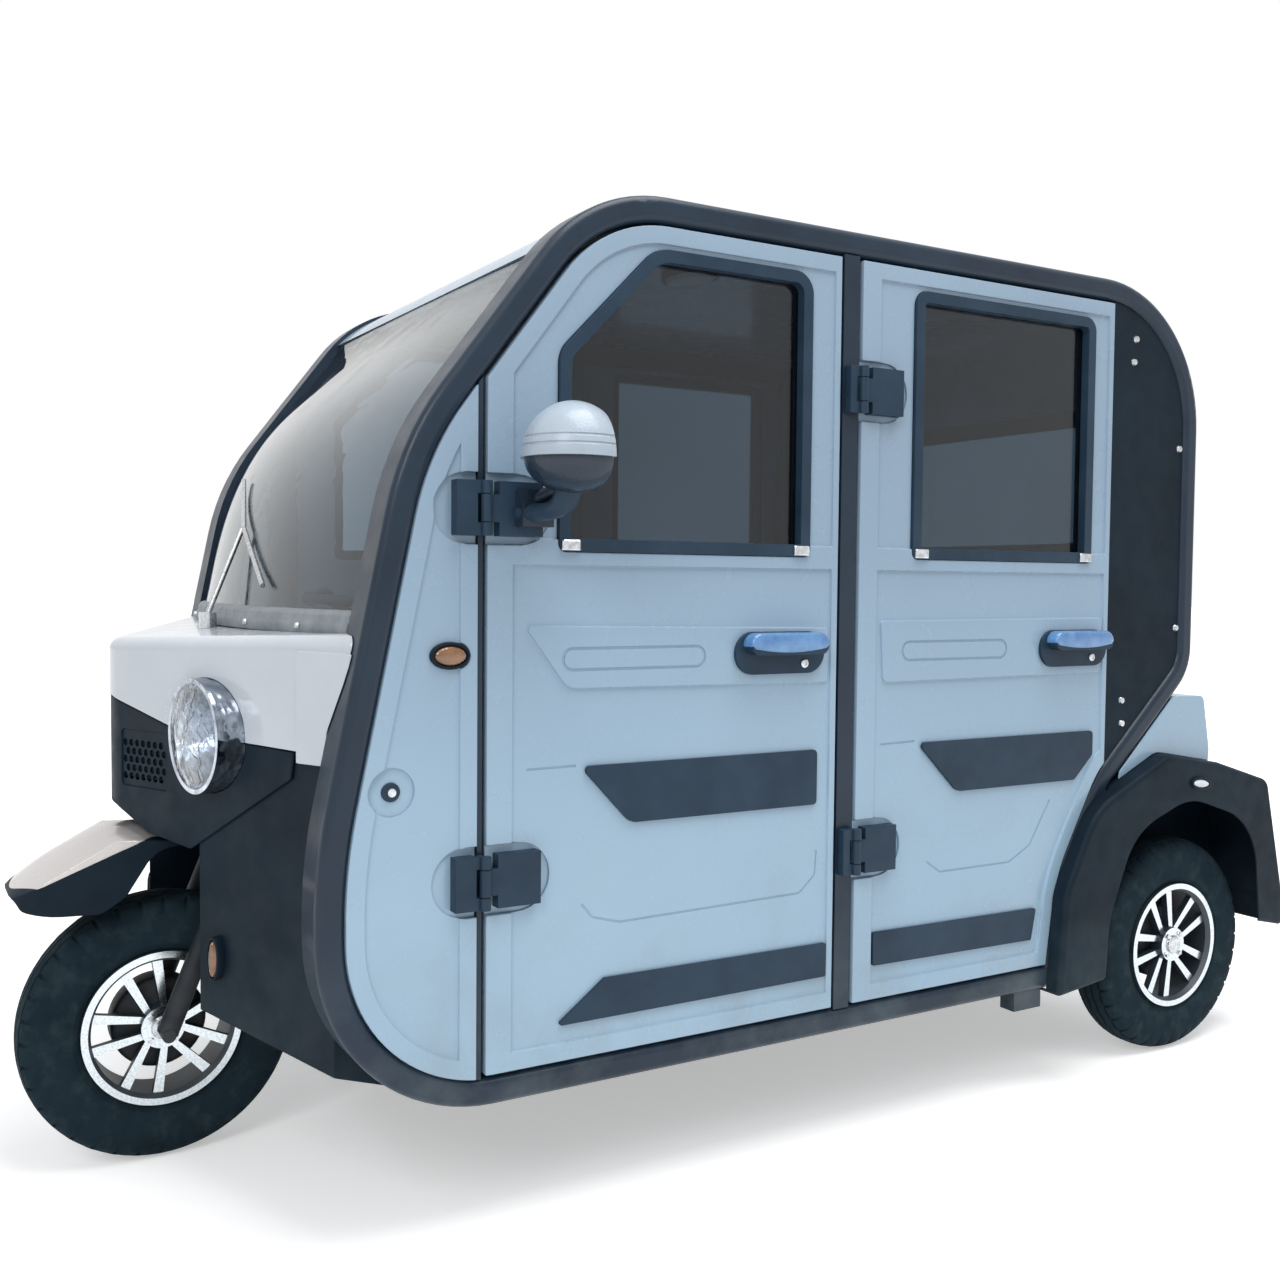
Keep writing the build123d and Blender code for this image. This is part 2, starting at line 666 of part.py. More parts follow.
# Rear axle with its motor housing, leaf springs and hangers
axle_parts = [(rear_track_half + 46, axle_radius), (430, 32), (110, 95)]
axle = None
for reach, radius in axle_parts:
    bar = rod((-reach, wheelbase, wheel_radius), (reach, wheelbase, wheel_radius), radius)
    axle = bar if axle is None else axle + bar
spring_rows = [
    (wheelbase - 216, 340, 0),
    (wheelbase, 272, 600),
    (wheelbase + 254, 340, 0),
    (wheelbase + 254, 360, 0),
    (wheelbase, 292, 600),
    (wheelbase - 216, 360, 0),
]
spring = side_solid(outline(spring_rows), rail_half - 28, rail_half + 28)
spring += block((rail_half - 26, rail_half + 26), (wheelbase - 30, wheelbase + 30), (wheel_radius, 330))
for end in (wheelbase - 202, wheelbase + 240):
    spring += block((rail_half - 22, rail_half + 22), (end - 12, end + 12), (345, 430 - seat))
nodes["rear_axle"] = axle + spring + mirror(spring, about=Plane.YZ)

# Steering: everything that turns about the raked axis
steer_y = steer_offset / cos(radians(steer_rake))
axis_dir = (0, sin(radians(steer_rake)), cos(radians(steer_rake)))


def on_axis(height, x=0, ahead=0):
    """A point at a height along the steering axis, moved sideways and square ahead of it."""
    y = steer_y + (height - wheel_radius) * tan(radians(steer_rake))
    return (x, y - ahead * cos(radians(steer_rake)), height + ahead * sin(radians(steer_rake)))


crown_z = 590
stem_top = handle_height - (handle_radius + seat) * cos(radians(steer_rake))
stem = rod(on_axis(crown_z - 10), on_axis(stem_top), 17)
fork = stem + rod((-fork_half - 20, 0, wheel_radius), (fork_half + 20, 0, wheel_radius), axle_radius)
for side in (-1, 1):
    leg = (side * fork_half, 0, wheel_radius), on_axis(crown_z, side * fork_half, steer_offset)
    fork += rod(*leg, fork_leg)
crown = on_axis(crown_z, -fork_half, steer_offset), on_axis(crown_z, fork_half, steer_offset)
fork += rod(*crown, 20)
fork += rod(on_axis(crown_z, 0, 0), on_axis(crown_z, 0, steer_offset), 20)
nodes["fork"] = fork
head_low, head_high = on_axis(well_top + 30), on_axis(860)
head = rod(head_low, head_high, 28)
head += block((-30, 30), (well_back + skin + seat, well_back + 60), (sill_height + floor_thickness + seat, 760))
head += block((-22, 22), (240, well_back + 60), (well_top + 15, 850))
nodes["steering_head"] = head - rod(on_axis(600), on_axis(900), 17.05)
nodes["front_apron"] -= rod(on_axis(600), on_axis(900), 32)
bar = rod(on_axis(handle_height, -250), on_axis(handle_height, 250), handle_radius)
for side in (-1, 1):
    a = on_axis(handle_height, side * 250)
    bar += rod(a, (side * 330, a[1] + 60, a[2] + 10), 15)
nodes["handlebar"] = bar

# Mudguard over the front tyre: a crowned silver top and a black skirt below it, both open underneath
guard_half = 100
guard_peak = (-90, 617)
crown_y, crown_top = on_axis(crown_z, 0, steer_offset)[1:]
guard_rows = [
    (-front_overhang, 530, 6),
    (*guard_peak, 60),
    (crown_y, 605, 4),
    (crown_y, 597, 4),
    (-20, 578, 60),
    (-70, 500, 30),
    (-110, 474, 20),
    (-236, 480, 12),
]
silver_rows = [
    (-front_overhang - 20, 534, 0),
    (-206, 530, 30),
    (-30, 600, 40),
    (crown_y + 20, 590, 0),
    (crown_y + 20, 700, 0),
    (-front_overhang - 20, 700, 0),
]


def crowned(shape, drop):
    """Rounds the guard's top across its width, on its front slope and on its back run."""
    peak_y, peak_z = guard_peak
    arc = ThreePointArc((-guard_half, 18), (0, 0), (guard_half, 18))
    section = make_face([arc, Polyline(arc @ 1, (guard_half, 260), (-guard_half, 260), arc @ 0)])
    runs = [(peak_y + front_overhang, peak_z - 530), (crown_y - peak_y, 605 - peak_z)]
    for run_y, run_z in runs:
        plane = Plane(origin=(0, peak_y, peak_z - drop), x_dir=(1, 0, 0), z_dir=(0, run_y, run_z))
        shape = shape & extrude(plane * section, 500, both=True)
    return shape


guard_face = outline(guard_rows)
hollow = inset(guard_face, skin)
tip_corners = [
    (-guard_half, -front_overhang),
    (guard_half, -front_overhang),
    (guard_half, 300),
    (-guard_half, 300),
]
guard_plan = make_face(FilletPolyline(*tip_corners, radius=[45, 45, 0, 0], close=True))
guard = crowned(side_solid(guard_face, -guard_half, guard_half), 0) & plan_solid(guard_plan, 300, 900)
room = crowned(side_solid(hollow + Pos(0, -40) * hollow, -guard_half, guard_half), skin)
guard -= room & plan_solid(inset(guard_plan, skin), 300, 900)
guard -= rod(*crown, 20 + seat)
for side in (-1, 1):
    leg = (side * fork_half, 0, wheel_radius), on_axis(crown_z, side * fork_half, steer_offset)
    guard -= rod(*leg, fork_leg + seat)
silver_face = outline(silver_rows)
nodes["mudguard"] = guard & side_solid(silver_face, -200, 200)
nodes["mudguard_skirt"] = guard - side_solid(offset(silver_face, amount=seat), -200, 200)

# The model's origin is midway between its ends, on the ground
middle = (wheelbase + rear_overhang - front_overhang) / 2
for name, shape in nodes.items():
    export_step(Pos(0, -middle, 0) * solids(shape), f"parts/{name}.step")
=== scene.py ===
import math

import bmesh
import bpy
import numpy as np
from mathutils import Matrix, Vector


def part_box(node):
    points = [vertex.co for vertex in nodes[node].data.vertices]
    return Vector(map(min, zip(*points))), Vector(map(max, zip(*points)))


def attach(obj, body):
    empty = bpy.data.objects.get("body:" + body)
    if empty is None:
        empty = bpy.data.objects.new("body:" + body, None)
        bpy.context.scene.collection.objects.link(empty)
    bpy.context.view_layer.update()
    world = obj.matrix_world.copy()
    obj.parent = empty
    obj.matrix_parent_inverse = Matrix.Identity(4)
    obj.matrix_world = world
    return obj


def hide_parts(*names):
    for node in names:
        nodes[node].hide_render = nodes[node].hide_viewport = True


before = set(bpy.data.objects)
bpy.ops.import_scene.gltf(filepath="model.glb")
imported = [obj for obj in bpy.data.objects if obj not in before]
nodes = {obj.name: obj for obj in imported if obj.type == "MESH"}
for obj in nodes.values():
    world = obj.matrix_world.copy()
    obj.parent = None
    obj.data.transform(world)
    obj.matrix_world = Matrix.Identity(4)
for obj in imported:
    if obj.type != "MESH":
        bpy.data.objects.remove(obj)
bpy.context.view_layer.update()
scene = bpy.context.scene

# Places along Y are written from the front axle, which stands at this place
AXLE_SHIFT = -1.079
# The two sides with the direction of each along X
SIDES = {"left": 1, "right": -1}
# Outer face of the doors and panels, and half the width of a rim
SIDE_FACE = 0.606
RIM_HALF = 0.045


def tint(red, green, blue):
    """A colour as a screen shows it, turned to the light values that the shaders use."""
    values = [c / 255 for c in (red, green, blue)]
    return [c / 12.92 if c <= 0.04045 else ((c + 0.055) / 1.055) ** 2.4 for c in values] + [1.0]


class Finish:
    """A material under construction, with short names for the nodes that every finish uses."""

    def __init__(self, name):
        self.material = bpy.data.materials.new(name)
        self.material.use_nodes = True
        self.tree = self.material.node_tree
        self.tree.nodes.clear()
        output = self.tree.nodes.new("ShaderNodeOutputMaterial")
        self.shader = self.tree.nodes.new("ShaderNodeBsdfPrincipled")
        self.join(self.shader.outputs["BSDF"], output.inputs["Surface"])
        self.place = self.tree.nodes.new("ShaderNodeTexCoord")

    def join(self, source, target):
        self.tree.links.new(source, target)

    def set(self, **values):
        for name, value in values.items():
            self.shader.inputs[name.replace("_", " ")].default_value = value

    def cloud(self, scale, detail=3.0, roughness=0.55, stretch=(1, 1, 1)):
        """Soft uneven variation, stretched along the axes if asked."""
        mapping = self.tree.nodes.new("ShaderNodeMapping")
        mapping.inputs["Scale"].default_value = stretch
        self.join(self.place.outputs["Object"], mapping.inputs["Vector"])
        node = self.tree.nodes.new("ShaderNodeTexNoise")
        node.inputs["Scale"].default_value = scale
        node.inputs["Detail"].default_value = detail
        node.inputs["Roughness"].default_value = roughness
        self.join(mapping.outputs["Vector"], node.inputs["Vector"])
        return node.outputs["Fac"]

    def cells(self, scale, feature="F1"):
        node = self.tree.nodes.new("ShaderNodeTexVoronoi")
        node.feature = feature
        node.inputs["Scale"].default_value = scale
        self.join(self.place.outputs["Object"], node.inputs["Vector"])
        return node.outputs["Distance"]

    def stripes(self, scale, axis):
        node = self.tree.nodes.new("ShaderNodeTexWave")
        node.bands_direction = axis
        node.inputs["Scale"].default_value = scale
        self.join(self.place.outputs["Object"], node.inputs["Vector"])
        return node.outputs["Fac"]

    def axis(self, name, output="Object"):
        """One coordinate of the surface point, or of its direction."""
        split = self.tree.nodes.new("ShaderNodeSeparateXYZ")
        self.join(self.place.outputs[output], split.inputs["Vector"])
        return split.outputs[name]

    def ramp(self, factor, stops):
        node = self.tree.nodes.new("ShaderNodeValToRGB")
        elements = node.color_ramp.elements
        while len(elements) < len(stops):
            elements.new(0.5)
        for element, (position, colour) in zip(elements, stops):
            element.position = position
            element.color = colour
        self.join(factor, node.inputs["Fac"])
        return node.outputs["Color"]

    def spread(self, factor, low_in, high_in, low_out, high_out):
        node = self.tree.nodes.new("ShaderNodeMapRange")
        sockets = ("From Min", "From Max", "To Min", "To Max")
        for name, value in zip(sockets, (low_in, high_in, low_out, high_out)):
            node.inputs[name].default_value = value
        self.join(factor, node.inputs["Value"])
        return node.outputs["Result"]

    def math(self, operation, first, second=None):
        node = self.tree.nodes.new("ShaderNodeMath")
        node.operation = operation
        for socket, value in zip(node.inputs, (first, second)):
            if isinstance(value, (int, float)):
                socket.default_value = value
            elif value is not None:
                self.join(value, socket)
        return node.outputs["Value"]

    def blend(self, factor, first, second):
        node = self.tree.nodes.new("ShaderNodeMix")
        node.data_type = "RGBA"
        if isinstance(factor, float):
            node.inputs["Factor"].default_value = factor
        else:
            self.join(factor, node.inputs["Factor"])
        for socket, value in ((node.inputs[6], first), (node.inputs[7], second)):
            if isinstance(value, list):
                socket.default_value = value
            else:
                self.join(value, socket)
        return node.outputs[2]

    def colour(self, source):
        self.join(source, self.shader.inputs["Base Color"])

    def rough(self, source):
        self.join(source, self.shader.inputs["Roughness"])

    def worn(self, scale, detail, low, high):
        """Roughness that wanders between two values in soft patches."""
        self.rough(self.spread(self.cloud(scale, detail), 0.3, 0.7, low, high))

    def relief(self, height, strength, distance):
        node = self.tree.nodes.new("ShaderNodeBump")
        node.inputs["Strength"].default_value = strength
        node.inputs["Distance"].default_value = distance
        self.join(height, node.inputs["Height"])
        self.join(node.outputs["Normal"], self.shader.inputs["Normal"])


def dusty(finish, base, dust, height, reach):
    """Road dust that thickens towards the ground, broken up by soft patches."""
    low = finish.spread(finish.axis("Z"), height, height + reach, 1.0, 0.0)
    patches = finish.spread(finish.cloud(7, 6), 0.42, 0.68, 0.0, 1.0)
    share = finish.math("MULTIPLY", low, patches)
    return finish.blend(finish.math("MULTIPLY", share, 0.55), base, dust)


def panel_paint_and_shade():
    """Pale blue-white gloss paint of the doors, side panels, tail and roof, painted darker higher up as
    painted shade.
    """
    f = Finish("panel_paint_and_shade")
    f.set(Coat_Weight=0.35, Coat_Roughness=0.06, Specular_IOR_Level=0.35)
    # Painted shade: the upper colour is darker and greyer, and the blend below turns the paint towards
    # it from 0.55 m up to 1.25 m.
    low = f.ramp(f.cloud(1.2, 3), [(0.3, tint(150, 179, 201)), (0.72, tint(160, 188, 209))])
    high = f.ramp(f.cloud(1.5, 3), [(0.3, tint(138, 160, 180)), (0.72, tint(147, 170, 190))])
    base = f.blend(f.spread(f.axis("Z"), 0.55, 1.25, 0.0, 1.0), low, high)
    f.colour(dusty(f, base, tint(140, 156, 166), 0.2, 0.5))
    f.worn(14, 5, 0.2, 0.32)
    f.relief(f.cloud(420, 2), 0.035, 0.0006)
    return f.material


def nose_paint_and_sky_reflection():
    """The nose's gloss paint, paler and greyer than the panels' as a painted reflection of the sky, with
    soft darker patches.
    """
    f = Finish("nose_paint_and_sky_reflection")
    f.set(Coat_Weight=0.5, Coat_Roughness=0.05, Specular_IOR_Level=0.4)
    # Painted reflection: this paint is paler and greyer than the panels' paint and stands in for the sky
    # that the nose reflects.
    base = f.ramp(f.cloud(2.6, 4), [(0.3, tint(186, 194, 203)), (0.72, tint(202, 208, 215))])
    f.colour(f.blend(f.spread(f.cloud(9, 5), 0.45, 0.8, 0.0, 0.3), base, tint(176, 186, 196)))
    f.worn(14, 5, 0.16, 0.28)
    f.relief(f.cloud(420, 2), 0.03, 0.0006)
    return f.material


def hoop_lacquer():
    """Blue-black lacquer on the tube hoops and pillars, worn a little dull low down."""
    f = Finish("hoop_lacquer")
    f.set(Coat_Weight=0.12, Coat_Roughness=0.1, Specular_IOR_Level=0.22)
    base = f.ramp(f.cloud(5, 5), [(0.3, tint(25, 39, 53)), (0.75, tint(37, 52, 68))])
    f.colour(dusty(f, base, tint(96, 108, 114), 0.18, 0.35))
    f.worn(20, 5, 0.3, 0.44)
    f.relief(f.cloud(260, 3), 0.06, 0.0008)
    return f.material


def moulded_black():
    """Grained blue-black plastic of the lower nose, apron, fenders and trims."""
    f = Finish("moulded_black")
    f.set(Specular_IOR_Level=0.12)
    base = f.ramp(f.cloud(6, 5), [(0.28, tint(11, 24, 34)), (0.78, tint(22, 38, 50))])
    f.colour(dusty(f, base, tint(72, 86, 92), 0.12, 0.35))
    f.worn(25, 6, 0.42, 0.6)
    f.relief(f.cells(900), 0.12, 0.0006)
    return f.material


def trim_plastic():
    """Smoother dark plastic of the door strips, window frames, handles and hinges."""
    f = Finish("trim_plastic")
    f.set(Specular_IOR_Level=0.22)
    f.colour(f.ramp(f.cloud(9, 5), [(0.3, tint(30, 48, 64)), (0.75, tint(44, 64, 82))]))
    f.worn(40, 5, 0.34, 0.5)
    f.relief(f.cloud(700, 3), 0.08, 0.0005)
    return f.material


def silver_lacquer():
    """Warm silver lacquer with fine flakes on the mudguard."""
    f = Finish("silver_lacquer")
    f.set(Metallic=0.35, Coat_Weight=0.5, Coat_Roughness=0.1)
    flakes = f.ramp(f.cells(1400), [(0.1, tint(226, 221, 218)), (0.7, tint(196, 191, 189))])
    f.colour(f.blend(f.spread(f.cloud(4, 4), 0.3, 0.7, 0.0, 0.35), flakes, tint(182, 178, 178)))
    f.worn(30, 4, 0.26, 0.38)
    f.relief(f.cells(1400), 0.04, 0.0003)
    return f.material


def wheel_alloy():
    """Polished faces on the spokes and lips, dark paint between and behind them."""
    f = Finish("wheel_alloy")
    facing = f.math("ABSOLUTE", f.axis("X", "Normal"))
    polish = f.spread(facing, 0.5, 0.72, 0.0, 1.0)
    grain = f.cloud(60, 4, stretch=(1, 4, 4))
    bright = f.ramp(grain, [(0.3, tint(186, 196, 202)), (0.7, tint(222, 228, 231))])
    dark = f.ramp(f.cloud(18, 4), [(0.3, tint(28, 38, 46)), (0.7, tint(44, 56, 64))])
    f.colour(f.blend(polish, dark, bright))
    f.join(polish, f.shader.inputs["Metallic"])
    f.rough(f.spread(polish, 0.0, 1.0, 0.5, 0.2))
    f.relief(f.cloud(500, 2, stretch=(1, 5, 5)), 0.05, 0.0003)
    return f.material


def tyre_compound():
    """Matt rubber with dry dust in its tread and on its shoulders."""
    f = Finish("tyre_compound")
    f.set(Specular_IOR_Level=0.12)
    base = f.ramp(f.cloud(11, 6), [(0.25, tint(20, 35, 43)), (0.8, tint(34, 51, 60))])
    dust = f.spread(f.cloud(30, 7), 0.5, 0.78, 0.0, 0.35)
    f.colour(f.blend(dust, base, tint(66, 84, 88)))
    f.worn(40, 5, 0.72, 0.9)
    f.relief(f.cloud(380, 4), 0.16, 0.0008)
    return f.material


def seat_cover():
    """Black-grey vinyl with a fine leather grain."""
    f = Finish("seat_cover")
    f.set(Specular_IOR_Level=0.3)
    f.colour(f.ramp(f.cloud(12, 5), [(0.3, tint(34, 38, 44)), (0.75, tint(52, 57, 63))]))
    f.worn(30, 5, 0.45, 0.62)
    f.relief(f.cells(520), 0.35, 0.0012)
    return f.material


def frame_steel():
    """Satin black paint on rails, axle, fork and the seat's frame."""
    f = Finish("frame_steel")
    f.set(Specular_IOR_Level=0.25)
    base = f.ramp(f.cloud(10, 6), [(0.25, tint(22, 29, 36)), (0.8, tint(38, 46, 54))])
    f.colour(dusty(f, base, tint(104, 104, 100), 0.15, 0.3))
    f.worn(35, 6, 0.42, 0.62)
    f.relief(f.cloud(300, 4), 0.12, 0.0008)
    return f.material


def glazing(name, colour):
    """Clear sheet with faint waves and wipe marks."""
    f = Finish(name)
    f.set(Transmission_Weight=1.0, IOR=1.45)
    f.colour(f.ramp(f.cloud(3, 3), [(0.3, tint(*colour)), (0.75, tint(*(c + 8 for c in colour)))]))
    f.rough(f.spread(f.cloud(16, 5, stretch=(1, 1, 0.2)), 0.4, 0.75, 0.0, 0.012))
    f.relief(f.cloud(45, 2), 0.02, 0.0004)
    return f.material


def coloured_lens(name, low, high):
    """Ribbed coloured lens of a lamp."""
    f = Finish(name)
    f.set(Coat_Weight=0.8, Coat_Roughness=0.05, Transmission_Weight=0.25)
    f.colour(f.ramp(f.cloud(45, 3), [(0.3, tint(*low)), (0.7, tint(*high))]))
    f.worn(60, 3, 0.14, 0.24)
    f.relief(f.stripes(70, "Y"), 0.3, 0.001)
    return f.material


def reflector():
    """Bright metallised bowl of the headlamps."""
    f = Finish("reflector")
    f.set(Metallic=1.0)
    f.colour(f.ramp(f.cloud(30, 4), [(0.3, tint(122, 130, 142)), (0.7, tint(186, 194, 204))]))
    f.worn(50, 4, 0.06, 0.2)
    f.relief(f.cells(60), 0.4, 0.004)
    return f.material


def bright_steel():
    """Brushed stainless steel of the wiper arm, screws and clips."""
    f = Finish("bright_steel")
    f.set(Metallic=1.0)
    brushed = f.cloud(90, 4, stretch=(4, 1, 1))
    f.colour(f.ramp(brushed, [(0.3, tint(168, 172, 176)), (0.7, tint(214, 216, 218))]))
    f.worn(120, 3, 0.2, 0.34)
    f.relief(f.cloud(700, 2, stretch=(6, 1, 1)), 0.06, 0.0003)
    return f.material


def protective_film():
    """Blue film on the door grips, slightly wrinkled."""
    f = Finish("protective_film")
    f.set(Coat_Weight=0.7, Coat_Roughness=0.08)
    f.colour(f.ramp(f.cloud(26, 4), [(0.3, tint(62, 112, 168)), (0.72, tint(106, 156, 206))]))
    f.worn(50, 4, 0.18, 0.34)
    f.relief(f.cloud(55, 4, stretch=(1, 1, 3)), 0.3, 0.002)
    return f.material


def wrapped_lens():
    """Clear lamp lens under a crinkled clear film."""
    f = Finish("wrapped_lens")
    f.set(Transmission_Weight=1.0, IOR=1.4, Coat_Weight=0.6, Coat_Roughness=0.04)
    f.colour(f.ramp(f.cloud(22, 5), [(0.3, tint(206, 216, 226)), (0.7, tint(240, 245, 249))]))
    f.rough(f.spread(f.cloud(34, 5), 0.35, 0.7, 0.03, 0.16))
    f.relief(f.cells(38, "F2"), 0.55, 0.008)
    return f.material


def lamp_milk():
    """Milky cover of the lamp under the roof."""
    f = Finish("lamp_milk")
    f.set(Coat_Weight=0.4)
    f.colour(f.ramp(f.cloud(25, 3), [(0.3, tint(214, 220, 224)), (0.7, tint(236, 240, 242))]))
    f.worn(40, 3, 0.3, 0.45)
    f.relief(f.stripes(40, "Y"), 0.2, 0.001)
    return f.material


def seal_rubber():
    """Weathered grey rubber round the windscreen's foot."""
    f = Finish("seal_rubber")
    f.colour(f.ramp(f.cloud(20, 5), [(0.3, tint(112, 120, 126)), (0.75, tint(150, 156, 160))]))
    f.worn(60, 5, 0.45, 0.62)
    f.relief(f.cloud(250, 3), 0.12, 0.0008)
    return f.material


# Height of the seam on a mirror's cap, and of the band in which its two grooves lie
CAP_SEAM = 1.243
CAP_BAND = (1.258, 1.284)
# The grooves as shares of that band
GROOVE, FLAT = [0.0, 0.0, 0.0, 1.0], [1.0, 1.0, 1.0, 1.0]
GROOVE_STOPS = [(0.0, FLAT), (0.1, GROOVE), (0.2, FLAT), (0.48, FLAT), (0.58, GROOVE), (0.68, FLAT)]


def mirror_shell():
    """White cap with two grooves over a dark lower bowl, parted at the seam's height."""
    f = Finish("mirror_shell")
    f.set(Coat_Weight=0.2, Coat_Roughness=0.08, Specular_IOR_Level=0.3)
    height = f.axis("Z")
    upper = f.spread(height, CAP_SEAM - 0.0005, CAP_SEAM + 0.0005, 0.0, 1.0)
    white = f.ramp(f.cloud(6, 4), [(0.3, tint(160, 174, 187)), (0.72, tint(174, 186, 198))])
    dark = f.ramp(f.cloud(12, 4), [(0.3, tint(26, 39, 53)), (0.72, tint(38, 53, 68))])
    f.colour(f.blend(upper, dark, white))
    f.worn(30, 4, 0.22, 0.36)
    grooves = f.ramp(f.spread(height, *CAP_BAND, 0.0, 1.0), GROOVE_STOPS)
    f.relief(f.blend(0.15, grooves, f.cloud(350, 3)), 0.8, 0.004)
    return f.material


def mirror_silver():
    """Silvered glass of the mirrors."""
    f = Finish("mirror_silver")
    f.set(Metallic=1.0)
    f.colour(f.ramp(f.cloud(9, 3), [(0.3, tint(214, 220, 224)), (0.7, tint(230, 234, 238))]))
    f.worn(40, 3, 0.02, 0.06)
    f.relief(f.cloud(12, 2), 0.02, 0.001)
    return f.material


def floor_mat():
    """Ribbed dark floor covering."""
    f = Finish("floor_mat")
    f.colour(f.ramp(f.cloud(14, 5), [(0.3, tint(44, 48, 52)), (0.75, tint(62, 66, 70))]))
    f.worn(40, 5, 0.7, 0.85)
    f.relief(f.stripes(60, "X"), 0.4, 0.002)
    return f.material


finishes = {
    "panel_paint_and_shade": panel_paint_and_shade(),
    "nose_paint_and_sky_reflection": nose_paint_and_sky_reflection(),
    "hoop_lacquer": hoop_lacquer(),
    "moulded_black": moulded_black(),
    "trim_plastic": trim_plastic(),
    "silver_lacquer": silver_lacquer(),
    "wheel_alloy": wheel_alloy(),
    "tyre_compound": tyre_compound(),
    "seat_cover": seat_cover(),
    "frame_steel": frame_steel(),
    "door_glass": glazing("door_glass", (112, 128, 140)),
    "screen_glass": glazing("screen_glass", (178, 190, 198)),
    "wrapped_lens": wrapped_lens(),
    "lamp_milk": lamp_milk(),
    "amber_lens": coloured_lens("amber_lens", (116, 78, 46), (164, 112, 66)),
    "red_lens": coloured_lens("red_lens", (150, 26, 24), (196, 44, 36)),
    "reflector": reflector(),
    "bright_steel": bright_steel(),
    "protective_film": protective_film(),
    "seal_rubber": seal_rubber(),
    "mirror_shell": mirror_shell(),
    "mirror_silver": mirror_silver(),
    "floor_mat": floor_mat(),
}

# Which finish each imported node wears; a name without its side covers both sides
node_finishes = {
    "panel_paint_and_shade": ["front_door", "rear_door", "front_side_panels", "roof_panel", "tail_panel"],
    "nose_paint_and_sky_reflection": ["nose_shell"],
    "hoop_lacquer": ["side_hoop", "rear_wall"],
    "moulded_black": [
        "quarter_panels",
        "nose_lower",
        "nose_grille",
        "front_apron",
        "rear_fenders",
        "mudguard_skirt",
        "dashboard",
    ],
    "trim_plastic": ["front_door_fittings", "rear_door_fittings", "hinge_leaves", "handlebar"],
    "silver_lacquer": ["mudguard"],
    "wheel_alloy": ["front_rim", "rear_rim"],
    "frame_steel": ["chassis_rails", "rear_axle", "fork", "steering_head", "battery_box", "rear_bench"],
    "door_glass": ["front_door_glass", "rear_door_glass", "rear_window"],
    "screen_glass": ["windscreen"],
    "wrapped_lens": ["headlamp_lenses"],
    "amber_lens": ["marker_lamps"],
    "red_lens": ["tail_lamps"],
    "reflector": ["headlamps"],
    "bright_steel": ["wiper"],
    "mirror_shell": ["mirror"],
    "floor_mat": ["floor_pan"],
}


def dress(obj, finish):
    obj.data.materials.clear()
    obj.data.materials.append(finishes[finish])


for finish, names in node_finishes.items():
    for name in names:
        for full_name in (name, name + "_left", name + "_right"):
            if full_name in nodes:
                dress(nodes[full_name], finish)


def add_piece(name, mesh, body, finish, smooth=True):
    """Puts a finished mesh into the scene on its body."""
    obj = bpy.data.objects.new(name, mesh)
    scene.collection.objects.link(obj)
    if finish:
        dress(obj, finish)
    for polygon in mesh.polygons:
        polygon.use_smooth = smooth
    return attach(obj, body)


def outward(mesh):
    """Merges doubles and turns all faces outward."""
    bm = bmesh.new()
    bm.from_mesh(mesh)
    bmesh.ops.remove_doubles(bm, verts=bm.verts, dist=1e-6)
    bmesh.ops.recalc_face_normals(bm, faces=bm.faces)
    bm.to_mesh(mesh)
    bm.free()
    return mesh


def ring_skin(name, rings, closed_round=False):
    """A skin over rings with as many points each, with flat ends unless it closes on itself."""
    rings = [[tuple(p) for p in ring] for ring in rings]
    count = len(rings[0])
    points = [p for ring in rings for p in ring]
    faces = []
    spans = len(rings) if closed_round else len(rings) - 1
    for i in range(spans):
        a, b = i * count, ((i + 1) % len(rings)) * count
        for k in range(count):
            n = (k + 1) % count
            faces.append((a + k, a + n, b + n, b + k))
    if not closed_round:
        faces.append(tuple(range(count)))
        faces.append(tuple(range(len(points) - count, len(points))))
    mesh = bpy.data.meshes.new(name)
    mesh.from_pydata(points, [], faces)
    return outward(mesh)


def crease_by_angle(mesh, degrees):
    """Keeps edges sharper than the angle crisp under smooth shading."""
    bm = bmesh.new()
    bm.from_mesh(mesh)
    for edge in bm.edges:
        if len(edge.link_faces) == 2:
            edge.smooth = edge.calc_face_angle(0.0) < math.radians(degrees)
    bm.to_mesh(mesh)
    bm.free()
    return mesh


def ring_piece(name, rings, degrees, body, finish):
    """A piece with a skin over rings, crisp at edges sharper than the angle."""
    mesh = crease_by_angle(ring_skin(name, rings), degrees)
    return add_piece(name, mesh, body, finish)


# Half of the tyre's section in millimetres: x from its middle, radius, and which cut lowers it
TYRE_SECTION = [
    (0.0, 241.6, ""),
    (7.0, 241.6, "zigzag"),
    (7.6, 236.0, "zigzag"),
    (10.8, 236.0, "zigzag"),
    (11.4, 241.2, "zigzag"),
    (19.0, 240.6, ""),
    (26.4, 238.9, "zigzag"),
    (27.0, 233.0, "zigzag"),
    (30.2, 232.6, "zigzag"),
    (30.8, 237.6, "shoulder"),
    (38.0, 234.0, "shoulder"),
    (44.0, 228.0, "shoulder"),
    (47.6, 220.0, "shoulder"),
    (49.4, 211.0, "shoulder"),
    (50.0, 204.0, ""),
    (51.0, 196.0, ""),
    (51.4, 183.0, ""),
    (50.4, 168.0, ""),
    (47.6, 156.0, ""),
    (46.6, 152.5, ""),
    (45.0, 152.0, ""),
    (42.0, 143.5, ""),
    (36.6, 137.2, ""),
    (30.0, 136.2, ""),
]
TREAD_PITCHES = 36
